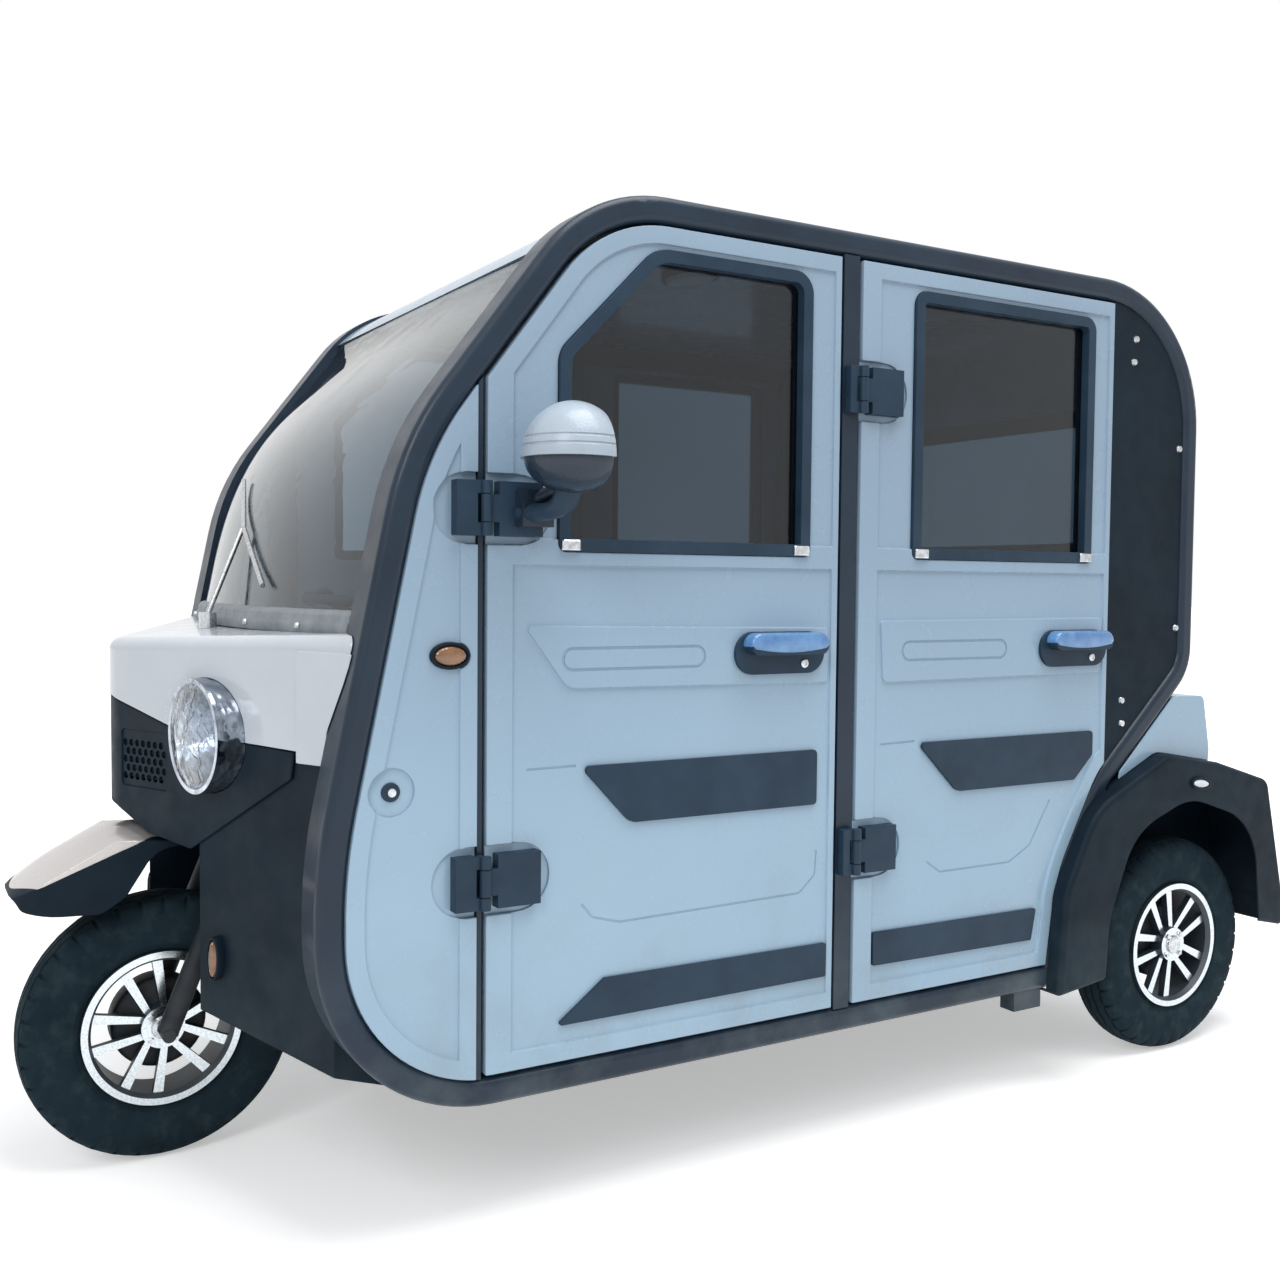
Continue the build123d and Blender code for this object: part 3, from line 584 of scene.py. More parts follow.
# Along one pitch of the tread: share of the pitch, and whether the shoulder is cut there
TREAD_STEPS = [
    (0.0, 0),
    (0.05, 1),
    (0.15, 1),
    (0.2, 0),
    (0.6, 0),
]
ZIGZAG_SWING = 0.0013
SHOULDER_CUT = 0.0045
# Beyond this place across the tyre the shoulder's cuts run out
SHOULDER_END = 0.047


def tyre(node, body):
    """A tyre with zigzag ribs and cut shoulders, in the place of the plain one."""
    low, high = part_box(node)
    middle = (low + high) / 2
    half = [(x / 1000, r / 1000, cut) for x, r, cut in TYRE_SECTION]
    section = [(-x, r, cut) for x, r, cut in reversed(half[1:])] + half
    rings = []
    for pitch in range(TREAD_PITCHES):
        for share, shoulder_cut in TREAD_STEPS:
            angle = 2 * math.pi * (pitch + share) / TREAD_PITCHES
            swing = ZIGZAG_SWING if share < 0.5 else -ZIGZAG_SWING
            ring = []
            for x, radius, cut in section:
                shift = swing if cut == "zigzag" else 0.0
                depth = SHOULDER_CUT * shoulder_cut if cut == "shoulder" else 0.0
                lowered = radius - depth * (0.6 if abs(x) > SHOULDER_END else 1.0)
                y = middle.y + lowered * math.sin(angle)
                z = middle.z + lowered * math.cos(angle)
                ring.append((middle.x + x + shift, y, z))
            rings.append(ring)
    mesh = ring_skin(node + "_tread", rings, closed_round=True)
    piece = add_piece(node + "_tread", crease_by_angle(mesh, 50), body, "tyre_compound")
    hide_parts(node)


tyre("front_tyre", "front_wheel")
for side in SIDES:
    tyre("rear_tyre_" + side, "rear_wheel_" + side)


def turned(name, centre, sign, rows, body, finish, steps=40):
    """A piece turned about the X direction from rows of distance outward and radius."""
    rings = []
    for out, radius in rows:
        ring = []
        for k in range(steps):
            angle = 2 * math.pi * k / steps
            y = centre[1] + radius * math.cos(angle)
            z = centre[2] + radius * math.sin(angle)
            ring.append((centre[0] + sign * out, y, z))
        rings.append(ring)
    return ring_piece(name, rings, 40, body, finish)


def fastener_tree(name, sides, material):
    """A tree that stands a tapered head on every point, turned along the point's aim."""
    tree = bpy.data.node_groups.new(name, "GeometryNodeTree")
    tree.interface.new_socket("Geometry", in_out="INPUT", socket_type="NodeSocketGeometry")
    tree.interface.new_socket("Head Radius", in_out="INPUT", socket_type="NodeSocketFloat")
    tree.interface.new_socket("Head Height", in_out="INPUT", socket_type="NodeSocketFloat")
    tree.interface.new_socket("Geometry", in_out="OUTPUT", socket_type="NodeSocketGeometry")
    entry = tree.nodes.new("NodeGroupInput")
    leave = tree.nodes.new("NodeGroupOutput")
    head = tree.nodes.new("GeometryNodeMeshCone")
    head.inputs["Vertices"].default_value = sides
    taper = tree.nodes.new("ShaderNodeMath")
    taper.operation = "MULTIPLY"
    taper.inputs[1].default_value = 0.78
    aim = tree.nodes.new("GeometryNodeInputNamedAttribute")
    aim.data_type = "FLOAT_VECTOR"
    aim.inputs["Name"].default_value = "aim"
    turn = tree.nodes.new("FunctionNodeAlignRotationToVector")
    stand = tree.nodes.new("GeometryNodeInstanceOnPoints")
    real = tree.nodes.new("GeometryNodeRealizeInstances")
    paint = tree.nodes.new("GeometryNodeSetMaterial")
    paint.inputs["Material"].default_value = material
    link = tree.links.new
    link(entry.outputs["Head Radius"], head.inputs["Radius Bottom"])
    link(entry.outputs["Head Radius"], taper.inputs[0])
    link(taper.outputs["Value"], head.inputs["Radius Top"])
    link(entry.outputs["Head Height"], head.inputs["Depth"])
    link(entry.outputs["Geometry"], stand.inputs["Points"])
    link(head.outputs["Mesh"], stand.inputs["Instance"])
    link(aim.outputs["Attribute"], turn.inputs["Vector"])
    link(turn.outputs["Rotation"], stand.inputs["Rotation"])
    link(stand.outputs["Instances"], real.inputs["Geometry"])
    link(real.outputs["Geometry"], paint.inputs["Geometry"])
    link(paint.outputs["Geometry"], leave.inputs["Geometry"])
    return tree


def fasteners(name, tree, points, aims, radius, height, body):
    """Steel heads on points, turned into one plain mesh for a body."""
    mesh = bpy.data.meshes.new(name + "_points")
    mesh.from_pydata([tuple(p) for p in points], [], [])
    aim = mesh.attributes.new("aim", "FLOAT_VECTOR", "POINT")
    aim.data.foreach_set("vector", [c for a in aims for c in a])
    carrier = bpy.data.objects.new(name + "_points", mesh)
    scene.collection.objects.link(carrier)
    modifier = carrier.modifiers.new("heads", "NODES")
    modifier.node_group = tree
    sizes = {"Head Radius": radius, "Head Height": height}
    for item in tree.interface.items_tree:
        if item.in_out == "INPUT" and item.name in sizes:
            modifier[item.identifier] = sizes[item.name]
    graph = bpy.context.evaluated_depsgraph_get()
    heads = bpy.data.meshes.new_from_object(carrier.evaluated_get(graph))
    bpy.data.objects.remove(carrier)
    heads.name = name
    return add_piece(name, heads, body, None, smooth=False)


screw_tree = fastener_tree("screw_heads", 14, finishes["bright_steel"])
nut_tree = fastener_tree("wheel_nuts", 6, finishes["bright_steel"])

# Screws of the quarter panels: place along the side from the front axle, and height
QUARTER_SCREWS = [
    (1.899, 1.586),
    (1.894, 1.537),
    (2.049, 1.361),
    (2.052, 0.966),
    (1.880, 0.811),
    (1.882, 0.761),
]


def quarter_screws():
    """The screws that hold the quarter panels to the hoops."""
    points, aims = [], []
    for sign in SIDES.values():
        for y, z in QUARTER_SCREWS:
            points.append((sign * (SIDE_FACE - 0.0082), y + AXLE_SHIFT, z))
            aims.append((sign, 0, 0))
    fasteners("quarter_panel_screws", screw_tree, points, aims, 0.008, 0.004, "body")


# Washer under the fixed panels' large screw: distance outward and radius
WASHER_ROWS = [
    (0.0, 0.0150),
    (0.0025, 0.0150),
    (0.0040, 0.0130),
    (0.0040, 0.0070),
]


def panel_screws():
    """The large screw and its washer in each fixed panel's round dish."""
    points = [(sign * (SIDE_FACE - 0.0092), 0.231 + AXLE_SHIFT, 0.733) for sign in SIDES.values()]
    aims = [(sign, 0, 0) for sign in SIDES.values()]
    fasteners("fixed_panel_screws", screw_tree, points, aims, 0.0085, 0.009, "body")
    for (side, sign), point in zip(SIDES.items(), points):
        name = "fixed_panel_washer_" + side
        turned(name, point, sign, WASHER_ROWS, "body", "trim_plastic", steps=28)


quarter_screws()
panel_screws()


# Each rim with its body and the faces that show, as directions along X
WHEELS = [
    ("front_rim", "front_wheel", (1, -1)),
    ("rear_rim_left", "rear_wheel_left", (1,)),
    ("rear_rim_right", "rear_wheel_right", (-1,)),
]
# Wheel nuts: how many on a face, and how far they stand from the hub's middle
NUT_COUNT = 4
NUT_CIRCLE = 0.03

# Cap on the middle of a wheel: distance outward and radius
CAP_ROWS = [
    (0.040, 0.020),
    (0.0465, 0.021),
    (0.0495, 0.0195),
    (0.0510, 0.016),
    (0.0516, 0.010),
    (0.0518, 0.003),
]

# Brake drum: distance outward and radius
DRUM_ROWS = [
    (-0.040, 0.078),
    (-0.036, 0.084),
    (0.002, 0.084),
    (0.008, 0.080),
    (0.0105, 0.072),
    (0.0110, 0.045),
    (0.0125, 0.040),
]


def hub_middle(wheel):
    """The middle of a wheel, on its axle."""
    low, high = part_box(wheel)
    return (low + high) / 2


def wheel_nuts(wheel, body, faces):
    """Nuts round the hub on each face that shows."""
    middle = hub_middle(wheel)
    points, aims = [], []
    for face in faces:
        for k in range(NUT_COUNT):
            angle = math.radians(45 + 360 / NUT_COUNT * k)
            y = middle.y + NUT_CIRCLE * math.cos(angle)
            z = middle.z + NUT_CIRCLE * math.sin(angle)
            points.append((middle.x + face * (RIM_HALF - 0.001), y, z))
            aims.append((face, 0, 0))
    fasteners(wheel + "_nuts", nut_tree, points, aims, 0.0065, 0.006, body)


def wheel_caps(wheel, body, faces):
    """A plain domed cap on the wheel's middle, on each face that shows."""
    for face in faces:
        name = wheel + "_cap"
        if len(faces) == 2:
            name += "_left" if face > 0 else "_right"
        turned(name, hub_middle(wheel), face, CAP_ROWS, body, "bright_steel")


def brake_drum(wheel, body, face):
    """The dark drum behind the spokes."""
    turned(wheel + "_drum", hub_middle(wheel), face, DRUM_ROWS, body, "frame_steel", steps=48)


for wheel, body, faces in WHEELS:
    wheel_nuts(wheel, body, faces)
    wheel_caps(wheel, body, faces)
    brake_drum(wheel, body, faces[0])


def oval_rings(centre, right, aim, halves, rows, steps=36):
    """Oval rings from rows of distance outward and how far the ring is drawn in."""
    up = aim.cross(right)
    rings = []
    for out, inset in rows:
        ring = []
        for k in range(steps):
            angle = 2 * math.pi * k / steps
            across = right * (halves[0] - inset) * math.cos(angle)
            rise = up * (halves[1] - inset) * math.sin(angle)
            ring.append(Vector(centre) + aim * out + across + rise)
        rings.append(ring)
    return rings


def oval_lamp(name, centre, right, aim, halves, depth, lens):
    """A dark rim round a domed lens, both oval with these half widths; gives back the lens."""
    right, aim = Vector(right).normalized(), Vector(aim).normalized()
    rim_rows = [
        (-0.001, 0.0),
        (depth * 0.6, 0.0),
        (depth * 0.75, 0.0015),
        (depth * 0.75, 0.0045),
        (depth * 0.45, 0.0055),
        (0.0, 0.006),
    ]
    lens_rows = [
        (0.0005, 0.0065),
        (depth * 0.5, 0.0062),
        (depth * 0.8, 0.0085),
        (depth * 0.95, 0.0120),
        (depth, 0.0155),
    ]
    rim = oval_rings(centre, right, aim, halves, rim_rows)
    ring_piece(name + "_rim", rim, 40, "body", "moulded_black")
    dome = oval_rings(centre, right, aim, halves, lens_rows)
    return ring_piece(name + "_lens", dome, 40, "body", lens)


def side_marker(side):
    """Amber lamp on a fixed panel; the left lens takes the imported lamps' place."""
    sign = SIDES[side]
    place = (sign * (SIDE_FACE - 0.0045), 0.325 + AXLE_SHIFT, 0.940)
    halves = (0.033, 0.0215)
    lens = oval_lamp("side_marker_" + side, place, (0, 1, 0), (sign, 0, 0), halves, 0.0105, "amber_lens")
    if side == "left":
        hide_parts("marker_lamps")


def apron_marker(side):
    """Amber lamp on the apron's corner, aimed forward and partly outward."""
    sign = SIDES[side]
    place = (sign * 0.275, 0.046 + AXLE_SHIFT, 0.4215)
    right, aim = (sign, 0.46, 0), (sign * 0.46, -1, 0)
    oval_lamp("apron_marker_" + side, place, right, aim, (0.0165, 0.0375), 0.0165, "amber_lens")


def fender_reflector(side):
    """Pale reflector on a rear fender's outer face, dipping a little to the rear."""
    sign = SIDES[side]
    place = (sign * 0.6442, 2.09 + AXLE_SHIFT, 0.622)
    halves = (0.032, 0.0145)
    oval_lamp("fender_reflector_" + side, place, (0, 1, -0.12), (sign, 0, 0), halves, 0.007, "lamp_milk")


def roof_lamp():
    """Milky lamp under the roof, left of the middle."""
    place = (0.287, 0.962 + AXLE_SHIFT, 1.6715)
    oval_lamp("roof_lamp", place, (1, 0, 0), (0, 0, -1), (0.075, 0.05), 0.02, "lamp_milk")


for side in SIDES:
    side_marker(side)
    apron_marker(side)
    fender_reflector(side)
roof_lamp()


# Points nearer than this are one, and edges flatter than this many degrees are no edges
MERGE_REACH = 2e-5
FLAT_DEGREES = 1.5
HARD_DEGREES = 34


def eased(bm, width):
    """Merges flat patches and rounds the hard edges of a solid's skin."""
    bmesh.ops.remove_doubles(bm, verts=bm.verts, dist=MERGE_REACH)
    bmesh.ops.dissolve_limit(bm, angle_limit=math.radians(FLAT_DEGREES), verts=bm.verts, edges=bm.edges)
    hard = []
    for edge in bm.edges:
        if len(edge.link_faces) == 2 and edge.calc_face_angle(0.0) > math.radians(HARD_DEGREES):
            # A face too narrow for two rounded edges keeps its edge sharp
            reach = min(face.calc_area() for face in edge.link_faces) / max(edge.calc_length(), 1e-6)
            if reach > 2.05 * width:
                hard.append(edge)
    bmesh.ops.bevel(bm, geom=hard, offset=width, offset_type="OFFSET", segments=2, profile=0.5,
                    affect="EDGES", clamp_overlap=False)
    bmesh.ops.remove_doubles(bm, verts=bm.verts, dist=MERGE_REACH)
    bmesh.ops.triangulate(bm, faces=bm.faces)


def apply_modifiers(obj):
    """Makes what the modifiers show the piece's own mesh."""
    graph = bpy.context.evaluated_depsgraph_get()
    mesh = bpy.data.meshes.new_from_object(obj.evaluated_get(graph))
    obj.modifiers.clear()
    old = obj.data
    obj.data = mesh
    bpy.data.meshes.remove(old)


def weighted(obj):
    """Lets the large faces lead the shading."""
    modifier = obj.modifiers.new("shading", "WEIGHTED_NORMAL")
    modifier.keep_sharp = True
    apply_modifiers(obj)


def opened_skin(node):
    """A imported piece's skin in the vehicle's own place, ready to be worked."""
    bm = bmesh.new()
    bm.from_mesh(nodes[node].data)
    bm.transform(nodes[node].matrix_world)
    return bm


def closed_skin(bm, name, node, body, finish):
    """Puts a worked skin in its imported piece's place."""
    mesh = bpy.data.meshes.new(name)
    bm.to_mesh(mesh)
    bm.free()
    piece = add_piece(name, crease_by_angle(mesh, 42), body, finish)
    weighted(piece)
    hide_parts(node)


# How far back the mudguard's front end is drawn in, and how many cuts share that
TIP_REACH = 0.075
TIP_CUTS = 8


def rounded_tip(bm):
    """Draws the mudguard's front end in to a round nose."""
    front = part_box("mudguard_skirt")[0].y
    for k in range(1, TIP_CUTS + 1):
        place = (0, front + TIP_REACH * (k / TIP_CUTS) ** 1.6, 0)
        whole = bm.verts[:] + bm.edges[:] + bm.faces[:]
        bmesh.ops.bisect_plane(bm, geom=whole, plane_co=place, plane_no=(0, 1, 0))
    for vertex in bm.verts:
        behind = vertex.co.y - front
        share = min(1.0, max(0.0, 1 - behind / TIP_REACH))
        middle = 0.500 + 0.42 * behind
        vertex.co.z = middle + (vertex.co.z - middle) * math.sqrt(1 - 0.86 * share ** 2)
        vertex.co.x *= 1 - 0.16 * share ** 2


def softened(node, body, width, finish, slot):
    """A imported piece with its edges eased, in its place."""
    bm = opened_skin(node)
    eased(bm, width)
    if node.startswith("mudguard"):
        rounded_tip(bm)
    closed_skin(bm, node + "_skin", node, body, finish)


# Node, body, how far its edges are rounded, finish and slot
SOFT_EDGES = [
    ("front_side_panels", "body", 0.0022, "panel_paint_and_shade", "white_paint"),
    ("nose_shell", "body", 0.0020, "nose_paint_and_sky_reflection", "white_paint"),
    ("nose_lower", "body", 0.0020, "moulded_black", "black_plastic"),
    ("tail_panel", "body", 0.0022, "panel_paint_and_shade", "white_paint"),
    ("rear_fenders", "body", 0.0022, "moulded_black", "black_plastic"),
    ("hinge_leaves", "body", 0.0012, "trim_plastic", "black_plastic"),
    ("mudguard", "steering", 0.0022, "silver_lacquer", "silver_paint"),
    ("mudguard_skirt", "steering", 0.0022, "moulded_black", "black_plastic"),
]
for side in SIDES:
    SOFT_EDGES += [
        ("front_door_" + side, "front_door_" + side, 0.0023, "panel_paint_and_shade", "white_paint"),
        ("rear_door_" + side, "rear_door_" + side, 0.0023, "panel_paint_and_shade", "white_paint"),
        ("front_door_fittings_" + side, "front_door_" + side, 0.0012, "trim_plastic", "black_plastic"),
        ("rear_door_fittings_" + side, "rear_door_" + side, 0.0012, "trim_plastic", "black_plastic"),
    ]
for row in SOFT_EDGES:
    softened(*row)


# Underside of the apron: its slope, a point above it, and how far below that point it passes
SWEEP_DEGREES = 18
SWEEP_POINT = (0.408 + AXLE_SHIFT, 0.505)
SWEEP_DROP = 0.29


def trimmed_apron():
    """The apron with its underside swept up towards the nose, ahead of the floor."""
    bm = opened_skin("front_apron")
    lean = math.radians(SWEEP_DEGREES)
    down = (0, -math.sin(lean), -math.cos(lean))
    place = (0, SWEEP_POINT[0] + SWEEP_DROP * down[1], SWEEP_POINT[1] + SWEEP_DROP * down[2])
    whole = bm.verts[:] + bm.edges[:] + bm.faces[:]
    cut = bmesh.ops.bisect_plane(bm, geom=whole, plane_co=place, plane_no=down, clear_outer=True)
    rim = [item for item in cut["geom_cut"] if isinstance(item, bmesh.types.BMEdge)]
    bmesh.ops.triangle_fill(bm, use_beauty=True, edges=rim)
    eased(bm, 0.0022)
    bmesh.ops.recalc_face_normals(bm, faces=bm.faces)
    closed_skin(bm, "apron_skin", "front_apron", "body", "moulded_black")


trimmed_apron()


# The windscreen's foot: half width, the edge's place and how far the middle stands ahead
SCREEN_HALF = 0.5297
SCREEN_EDGE = 0.198 + AXLE_SHIFT
SCREEN_BULGE = 0.070
SEAL_STEPS = 48
SEAL_HEIGHT = 0.975
# Section of the seal: distance behind the screen's outer face, and above the seal's height
SEAL_SECTION = [
    (0.004, -0.008),
    (-0.010, -0.006),
    (-0.013, 0.0),
    (-0.011, 0.012),
    (-0.0075, 0.016),
    (-0.007, 0.024),
    (-0.003, 0.030),
    (0.010, 0.034),
    (0.012, 0.02),
]
# Places of the seal's screws across the vehicle
SCREEN_SCREWS = (-0.40, -0.20, 0.16, 0.38)


def screen_foot(x):
    """Where the windscreen's outer face meets its foot."""
    return SCREEN_EDGE - SCREEN_BULGE * (1 - (x / SCREEN_HALF) ** 2)


def screen_seal():
    """A lipped rubber strip along the windscreen's foot, and its screws."""
    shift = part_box("windscreen")[0].y - screen_foot(0)
    rings = []
    for i in range(SEAL_STEPS + 1):
        x = (SCREEN_HALF - 0.002) * (2 * i / SEAL_STEPS - 1)
        foot = screen_foot(x) + shift
        rings.append([(x, foot + back, SEAL_HEIGHT + up) for back, up in SEAL_SECTION])
    ring_piece("windscreen_seal", rings, 40, "body", "seal_rubber")
    points = [(x, screen_foot(x) + shift - 0.0125, SEAL_HEIGHT + 0.006) for x in SCREEN_SCREWS]
    aims = [(0, -1, 0.1)] * len(points)
    fasteners("windscreen_seal_screws", screw_tree, points, aims, 0.006, 0.004, "body")


screen_seal()


# Middle of each handle: place along the side from the front axle, and height
HANDLES = {"front_door": (0.955, 0.933), "rear_door": (1.712, 0.928)}

# Film on a grip: half its length and height, and the height that it is drawn in towards
FILM_LONG = 0.0868
FILM_HIGH = 0.0225
FILM_CORE = 0.003
# Steps of the film: distance outward and how far its outline is drawn in
FILM_ROWS = [
    (0.0085, 0.0),
    (0.028, 0.0),
    (0.0325, 0.0008),
    (0.0348, 0.003),
    (0.0356, 0.007),
]


def film_outline():
    """Two quarter rounds with a point midway on top, and a hollow curve back along the foot."""
    outline = []
    for k in range(25):
        angle = math.pi * k / 24
        end = (k < 12) - (k > 12)
        u = end * (FILM_LONG - FILM_HIGH) + FILM_HIGH * math.cos(angle)
        outline.append((u, FILM_HIGH * math.sin(angle)))
    for k in range(13):
        u = -FILM_LONG + 2 * FILM_LONG * (k + 0.5) / 13
        outline.append((u, -0.014 + 0.009 * (u / FILM_LONG) ** 2))
    return outline


def grip_film(door, side):
    """Film wrapped over the upper half of a grip."""
    y, z = HANDLES[door]
    middle_y, middle_z = y + 0.004 + AXLE_SHIFT, z + 0.014
    rings = []
    for out, inset in FILM_ROWS:
        x = SIDES[side] * (SIDE_FACE + out)
        scale_y, scale_z = 1 - inset / FILM_LONG, 1 - inset / FILM_HIGH
        ring = []
        for u, v in film_outline():
            height = middle_z + FILM_CORE + (v - FILM_CORE) * scale_z
            ring.append((x, middle_y + u * scale_y, height))
        rings.append(ring)
    ring_piece(f"{door}_grip_film_{side}", rings, 50, f"{door}_{side}", "protective_film")


# Key barrel: distance outward and radius
LOCK_ROWS = [
    (0.006, 0.0085),
    (0.0100, 0.0082),
    (0.0112, 0.0066),
    (0.0112, 0.0044),
    (0.0100, 0.0040),
    (0.0100, 0.0008),
]


def door_lock(door, side):
    """The key barrel in the dark cup under a grip."""
    y, z = HANDLES[door]
    sign = SIDES[side]
    centre = (sign * SIDE_FACE, y + 0.052 + AXLE_SHIFT, z - 0.020)
    name = f"{door}_lock_{side}"
    turned(name, centre, sign, LOCK_ROWS, f"{door}_{side}", "bright_steel", steps=24)


for door in HANDLES:
    for side in SIDES:
        grip_film(door, side)
        door_lock(door, side)


# Lower corners of each door's window, from the front axle
WINDOW_FEET = {"front_door": (0.512, 1.022), "rear_door": (1.268, 1.764)}

# Clip on a window's corner: its length, and the height of its foot
CLIP_LONG = 0.034
CLIP_FOOT = 1.1075
# Section of a clip: distance outward and height above its foot
CLIP_SECTION = [
    (0.0, 0.0),
    (0.0045, 0.0),
    (0.0055, 0.002),
    (0.0055, 0.015),
    (0.0042, 0.017),
    (0.0, 0.017),
]
# Along a clip: share of its length, and share of its thickness there
CLIP_STEPS = [
    (0.0, 0.6),
    (0.08, 1.0),
    (0.92, 1.0),
    (1.0, 0.6),
]


def window_clips(door, side):
    """Small folded metal clips on the window frame's lower corners."""
    sign, face = SIDES[side], SIDE_FACE + 0.0018
    pair = bmesh.new()
    for corner, reach in zip(WINDOW_FEET[door], (1, -1)):
        start = corner + reach * 0.004
        rings = []
        for share, fold in CLIP_STEPS:
            y = start + reach * CLIP_LONG * share + AXLE_SHIFT
            rings.append([(sign * (face + out * fold), y, CLIP_FOOT + up) for out, up in CLIP_SECTION])
        clip = ring_skin("clip", rings)
        pair.from_mesh(clip)
        bpy.data.meshes.remove(clip)
    name = f"{door}_window_clips_{side}"
    mesh = bpy.data.meshes.new(name)
    pair.to_mesh(mesh)
    pair.free()
    add_piece(name, outward(mesh), f"{door}_{side}", "bright_steel", smooth=False)


for door in WINDOW_FEET:
    for side in SIDES:
        window_clips(door, side)


# Middle of the left mirror's back face: x, y from the front axle, and z
MIRROR_BACK = (0.724, 0.5105, 1.248)
# The glass reaches this far sideways, up and down from there
GLASS_WIDE = 0.066
GLASS_UP = 0.070
GLASS_DOWN = 0.042
# Steps of the glass: distance behind the mirror's back face, and share of its size
GLASS_ROWS = [
    (-0.003, 0.96),
    (0.0008, 0.96),
    (0.0016, 0.93),
    (0.0018, 0.5),
    (0.0018, 0.05),
]


def mirror_glass(side):
    """Silvered glass set in the back of a mirror head."""
    x, y, z = MIRROR_BACK
    rings = []
    for back, scale in GLASS_ROWS:
        ring = []
        for k in range(40):
            angle = 2 * math.pi * k / 40
            high = GLASS_UP if math.sin(angle) > 0 else GLASS_DOWN
            across, rise = scale * GLASS_WIDE * math.cos(angle), scale * high * math.sin(angle)
            ring.append((SIDES[side] * x + across, y + AXLE_SHIFT + back, z + rise))
        rings.append(ring)
    ring_piece("mirror_glass_" + side, rings, 40, "front_door_" + side, "mirror_silver")


# Points of the left mirror's arm: x, y from the front axle, z, and half width
ARM_POINTS = [
    (0.628, 0.447, 1.163, 0.020),
    (0.660, 0.455, 1.164, 0.018),
    (0.688, 0.463, 1.167, 0.017),
    (0.706, 0.469, 1.176, 0.018),
    (0.714, 0.473, 1.194, 0.019),
    (0.717, 0.475, 1.216, 0.022),
]


def mirror_arm(side):
    """The moulded arm from the hinge to the mirror's bowl."""
    spots = [Vector((x, y + AXLE_SHIFT, z)) for x, y, z, half in ARM_POINTS]
    wide = Vector((0, 1, 0))
    rings = []
    for i, spot in enumerate(spots):
        half = ARM_POINTS[i][3]
        along = (spots[min(i + 1, len(spots) - 1)] - spots[max(i - 1, 0)]).normalized()
        flat = along.cross(wide).normalized()
        ring = []
        for k in range(20):
            angle = 2 * math.pi * k / 20
            point = spot + wide * 1.2 * half * math.cos(angle) + flat * 0.8 * half * math.sin(angle)
            ring.append((SIDES[side] * point.x, point.y, point.z))
        rings.append(ring)
    ring_piece("mirror_arm_" + side, rings, 50, "front_door_" + side, "trim_plastic")


for side in SIDES:
    mirror_glass(side)
    mirror_arm(side)


def seat_start(node, shrink, name):
    """A soft-cornered block a little smaller than the node, ready to be filled."""
    low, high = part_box(node)
    low, high = low + Vector((shrink,) * 3), high - Vector((shrink,) * 3)
    bm = bmesh.new()
    bmesh.ops.create_cube(bm, size=1.0)
    for vertex in bm.verts:
        vertex.co = Vector(low[i] + (high[i] - low[i]) * (vertex.co[i] + 0.5) for i in range(3))
    corner = min(high - low) * 0.3
    bmesh.ops.bevel(bm, geom=list(bm.edges), offset=corner, segments=4, profile=0.6, affect="EDGES")
    mesh = bpy.data.meshes.new(name)
    bm.to_mesh(mesh)
    bm.free()
    obj = bpy.data.objects.new(name, mesh)
    scene.collection.objects.link(obj)
    return obj


# Frames over which the seats' covers swell
COVER_FRAMES = 18


def fill_with_foam(obj, cap):
    """Swells the cover by air pressure and limits how far any point may move."""
    rest = np.array([v.co for v in obj.data.vertices])
    cloth = obj.modifiers.new("cover", "CLOTH")
    cloth.settings.quality = 4
    cloth.settings.use_pressure = True
    cloth.settings.uniform_pressure_force = 4.0
    cloth.settings.effector_weights.gravity = 0.0
    cloth.point_cache.frame_start = 1
    cloth.point_cache.frame_end = COVER_FRAMES
    for number in range(1, COVER_FRAMES + 1):
        scene.frame_set(number)
    apply_modifiers(obj)
    scene.frame_set(1)
    moved = np.array([v.co for v in obj.data.vertices])
    step = moved - rest
    length = np.linalg.norm(step, axis=1, keepdims=True)
    step *= np.minimum(1.0, cap / np.maximum(length, 1e-9))
    obj.data.vertices.foreach_set("co", (rest + step).astype(np.float32).ravel())
    obj.data.update()


def sew_channels(obj, lines, depth, width, face_axis, face_sign):
    """Presses sewn channels across the face that carries the sitter."""
    points = np.array([v.co for v in obj.data.vertices])
    normals = np.array([v.normal for v in obj.data.vertices])
    facing = np.clip(normals[:, face_axis] * face_sign * 2 - 0.6, 0, 1)
    press = np.zeros(len(points))
    for axis, place in lines:
        press = np.maximum(press, np.exp(-((points[:, axis] - place) / width) ** 2))
    points[:, face_axis] -= face_sign * depth * press * facing
    obj.data.vertices.foreach_set("co", points.astype(np.float32).ravel())
    obj.data.update()


# Node, sewn lines as axis and place, and the axis and direction that the sitter's side faces
SEATS = [
    ("front_seat", [(0, -0.15), (0, 0.15), (1, 0.90 + AXLE_SHIFT)], 2, 1),
    ("front_seat_back", [(0, -0.15), (0, 0.15), (2, 0.80), (2, 1.02)], 1, -1),
    ("rear_seat", [(0, -0.28), (0, 0.0), (0, 0.28), (1, 1.72 + AXLE_SHIFT)], 2, 1),
    ("rear_seat_back", [(0, -0.28), (0, 0.0), (0, 0.28), (2, 0.98)], 1, -1),
]


def seat_cushion(node, lines, face_axis, face_sign):
    obj = seat_start(node, 0.012, node + "_cushion")
    remesh = obj.modifiers.new("even", "REMESH")
    remesh.mode = "VOXEL"
    remesh.voxel_size = 0.008
    apply_modifiers(obj)
    fill_with_foam(obj, 0.011)
    sew_channels(obj, lines, 0.006, 0.007, face_axis, face_sign)
    for polygon in obj.data.polygons:
        polygon.use_smooth = True
    dress(obj, "seat_cover")
    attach(obj, "body")
    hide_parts(node)


for row in SEATS:
    seat_cushion(*row)


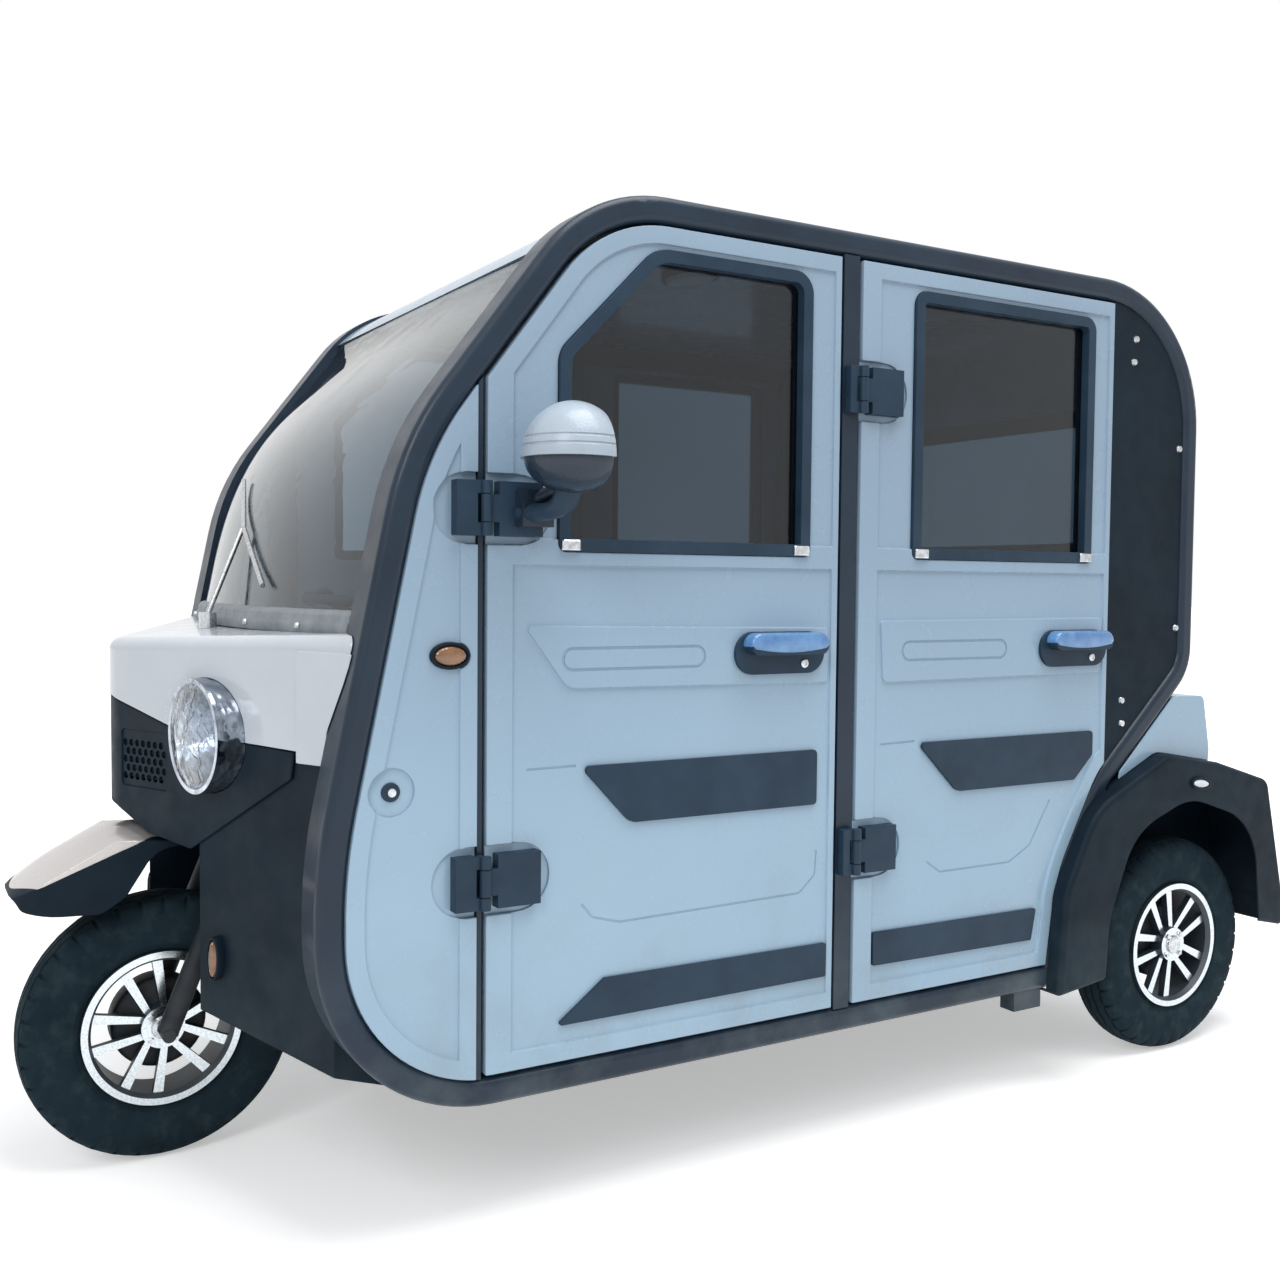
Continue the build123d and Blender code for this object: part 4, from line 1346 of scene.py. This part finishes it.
def studio_floor():
    """A plain pale floor that keeps the vehicle's shadow."""
    mesh = bpy.data.meshes.new("studio_floor")
    reach = 60.0
    corners = [(-reach, -reach, 0), (reach, -reach, 0), (reach, reach, 0), (-reach, reach, 0)]
    mesh.from_pydata(corners, [], [(0, 1, 2, 3)])
    floor = bpy.data.objects.new("studio_floor", mesh)
    scene.collection.objects.link(floor)
    f = Finish("studio_floor")
    f.colour(f.ramp(f.cloud(0.6, 2), [(0.3, tint(250, 250, 250)), (0.7, tint(252, 252, 252))]))
    f.worn(3, 2, 0.9, 0.95)
    f.relief(f.cloud(40, 2), 0.02, 0.001)
    f.set(Specular_IOR_Level=0.0, Emission_Color=(1, 1, 1, 1))
    ray = f.tree.nodes.new("ShaderNodeLightPath")
    seen = f.math("ADD", ray.outputs["Is Camera Ray"], ray.outputs["Is Glossy Ray"])
    seen = f.math("ADD", seen, ray.outputs["Is Transmission Ray"])
    away = f.tree.nodes.new("ShaderNodeVectorMath")
    away.operation = "LENGTH"
    f.join(f.place.outputs["Object"], away.inputs[0])
    glow = f.spread(away.outputs["Value"], 1.6, 4.5, 0.42, 1.0)
    f.join(f.math("MULTIPLY", f.math("MINIMUM", seen, 1.0), glow), f.shader.inputs["Emission Strength"])
    mesh.materials.append(f.material)


def studio_world(level):
    """Even light all round, seen as plain white by the camera and in gloss and glass."""
    world = bpy.data.worlds.new("studio_world")
    scene.world = world
    world.use_nodes = True
    tree = world.node_tree
    tree.nodes.clear()
    output = tree.nodes.new("ShaderNodeOutputWorld")
    light = tree.nodes.new("ShaderNodeBackground")
    seen = tree.nodes.new("ShaderNodeBackground")
    mix = tree.nodes.new("ShaderNodeMixShader")
    path = tree.nodes.new("ShaderNodeLightPath")
    with_gloss = tree.nodes.new("ShaderNodeMath")
    with_glass = tree.nodes.new("ShaderNodeMath")
    with_glass.use_clamp = True
    light.inputs["Color"].default_value = (0.95, 0.975, 1.0, 1)
    light.inputs["Strength"].default_value = level
    seen.inputs["Color"].default_value = (1, 1, 1, 1)
    tree.links.new(path.outputs["Is Camera Ray"], with_gloss.inputs[0])
    tree.links.new(path.outputs["Is Glossy Ray"], with_gloss.inputs[1])
    tree.links.new(with_gloss.outputs["Value"], with_glass.inputs[0])
    tree.links.new(path.outputs["Is Transmission Ray"], with_glass.inputs[1])
    tree.links.new(with_glass.outputs["Value"], mix.inputs["Fac"])
    tree.links.new(light.outputs["Background"], mix.inputs[1])
    tree.links.new(seen.outputs["Background"], mix.inputs[2])
    tree.links.new(mix.outputs["Shader"], output.inputs["Surface"])


def soft_box(name, place, target, size, power):
    """A square soft light aimed at a point."""
    lamp = bpy.data.lights.new(name, "AREA")
    lamp.shape = "SQUARE"
    lamp.size = size
    lamp.energy = power
    obj = bpy.data.objects.new(name, lamp)
    scene.collection.objects.link(obj)
    obj.location = place
    obj.rotation_mode = "QUATERNION"
    obj.rotation_quaternion = (Vector(target) - Vector(place)).to_track_quat("-Z", "Y")


# The photograph's camera: its place, and its turn, lean and roll in degrees
CAMERA_PLACE = (2.502, -1.533, 1.057)
CAMERA_TURNS = (59.43, 2.53, 0.52)


def photograph_camera():
    """The camera at the photograph's place, from its solved perspective."""
    turn, lean, roll = (math.radians(value) for value in CAMERA_TURNS)
    back = Vector((math.sin(turn) * math.cos(lean), -math.cos(turn) * math.cos(lean), math.sin(lean)))
    right = Vector((math.cos(turn), math.sin(turn), 0))
    up = back.cross(right)
    rolled_right = math.cos(roll) * right + math.sin(roll) * up
    rolled_up = -math.sin(roll) * right + math.cos(roll) * up
    lens = bpy.data.cameras.new("photograph_camera")
    lens.lens = 36.88
    lens.sensor_width = 36
    camera = bpy.data.objects.new("photograph_camera", lens)
    scene.collection.objects.link(camera)
    camera.matrix_world = Matrix((
        (rolled_right.x, rolled_up.x, back.x, CAMERA_PLACE[0]),
        (rolled_right.y, rolled_up.y, back.y, CAMERA_PLACE[1]),
        (rolled_right.z, rolled_up.z, back.z, CAMERA_PLACE[2]),
        (0, 0, 0, 1),
    ))
    scene.camera = camera


scene.view_settings.view_transform = "Standard"
studio_floor()
studio_world(0.44)
soft_box("key_light", (4.0, -4.5, 4.6), (0, 0, 0.8), 2.4, 130)
soft_box("top_light", (1.6, 0.2, 5.2), (0.3, 0, 0.5), 3.2, 190)
photograph_camera()
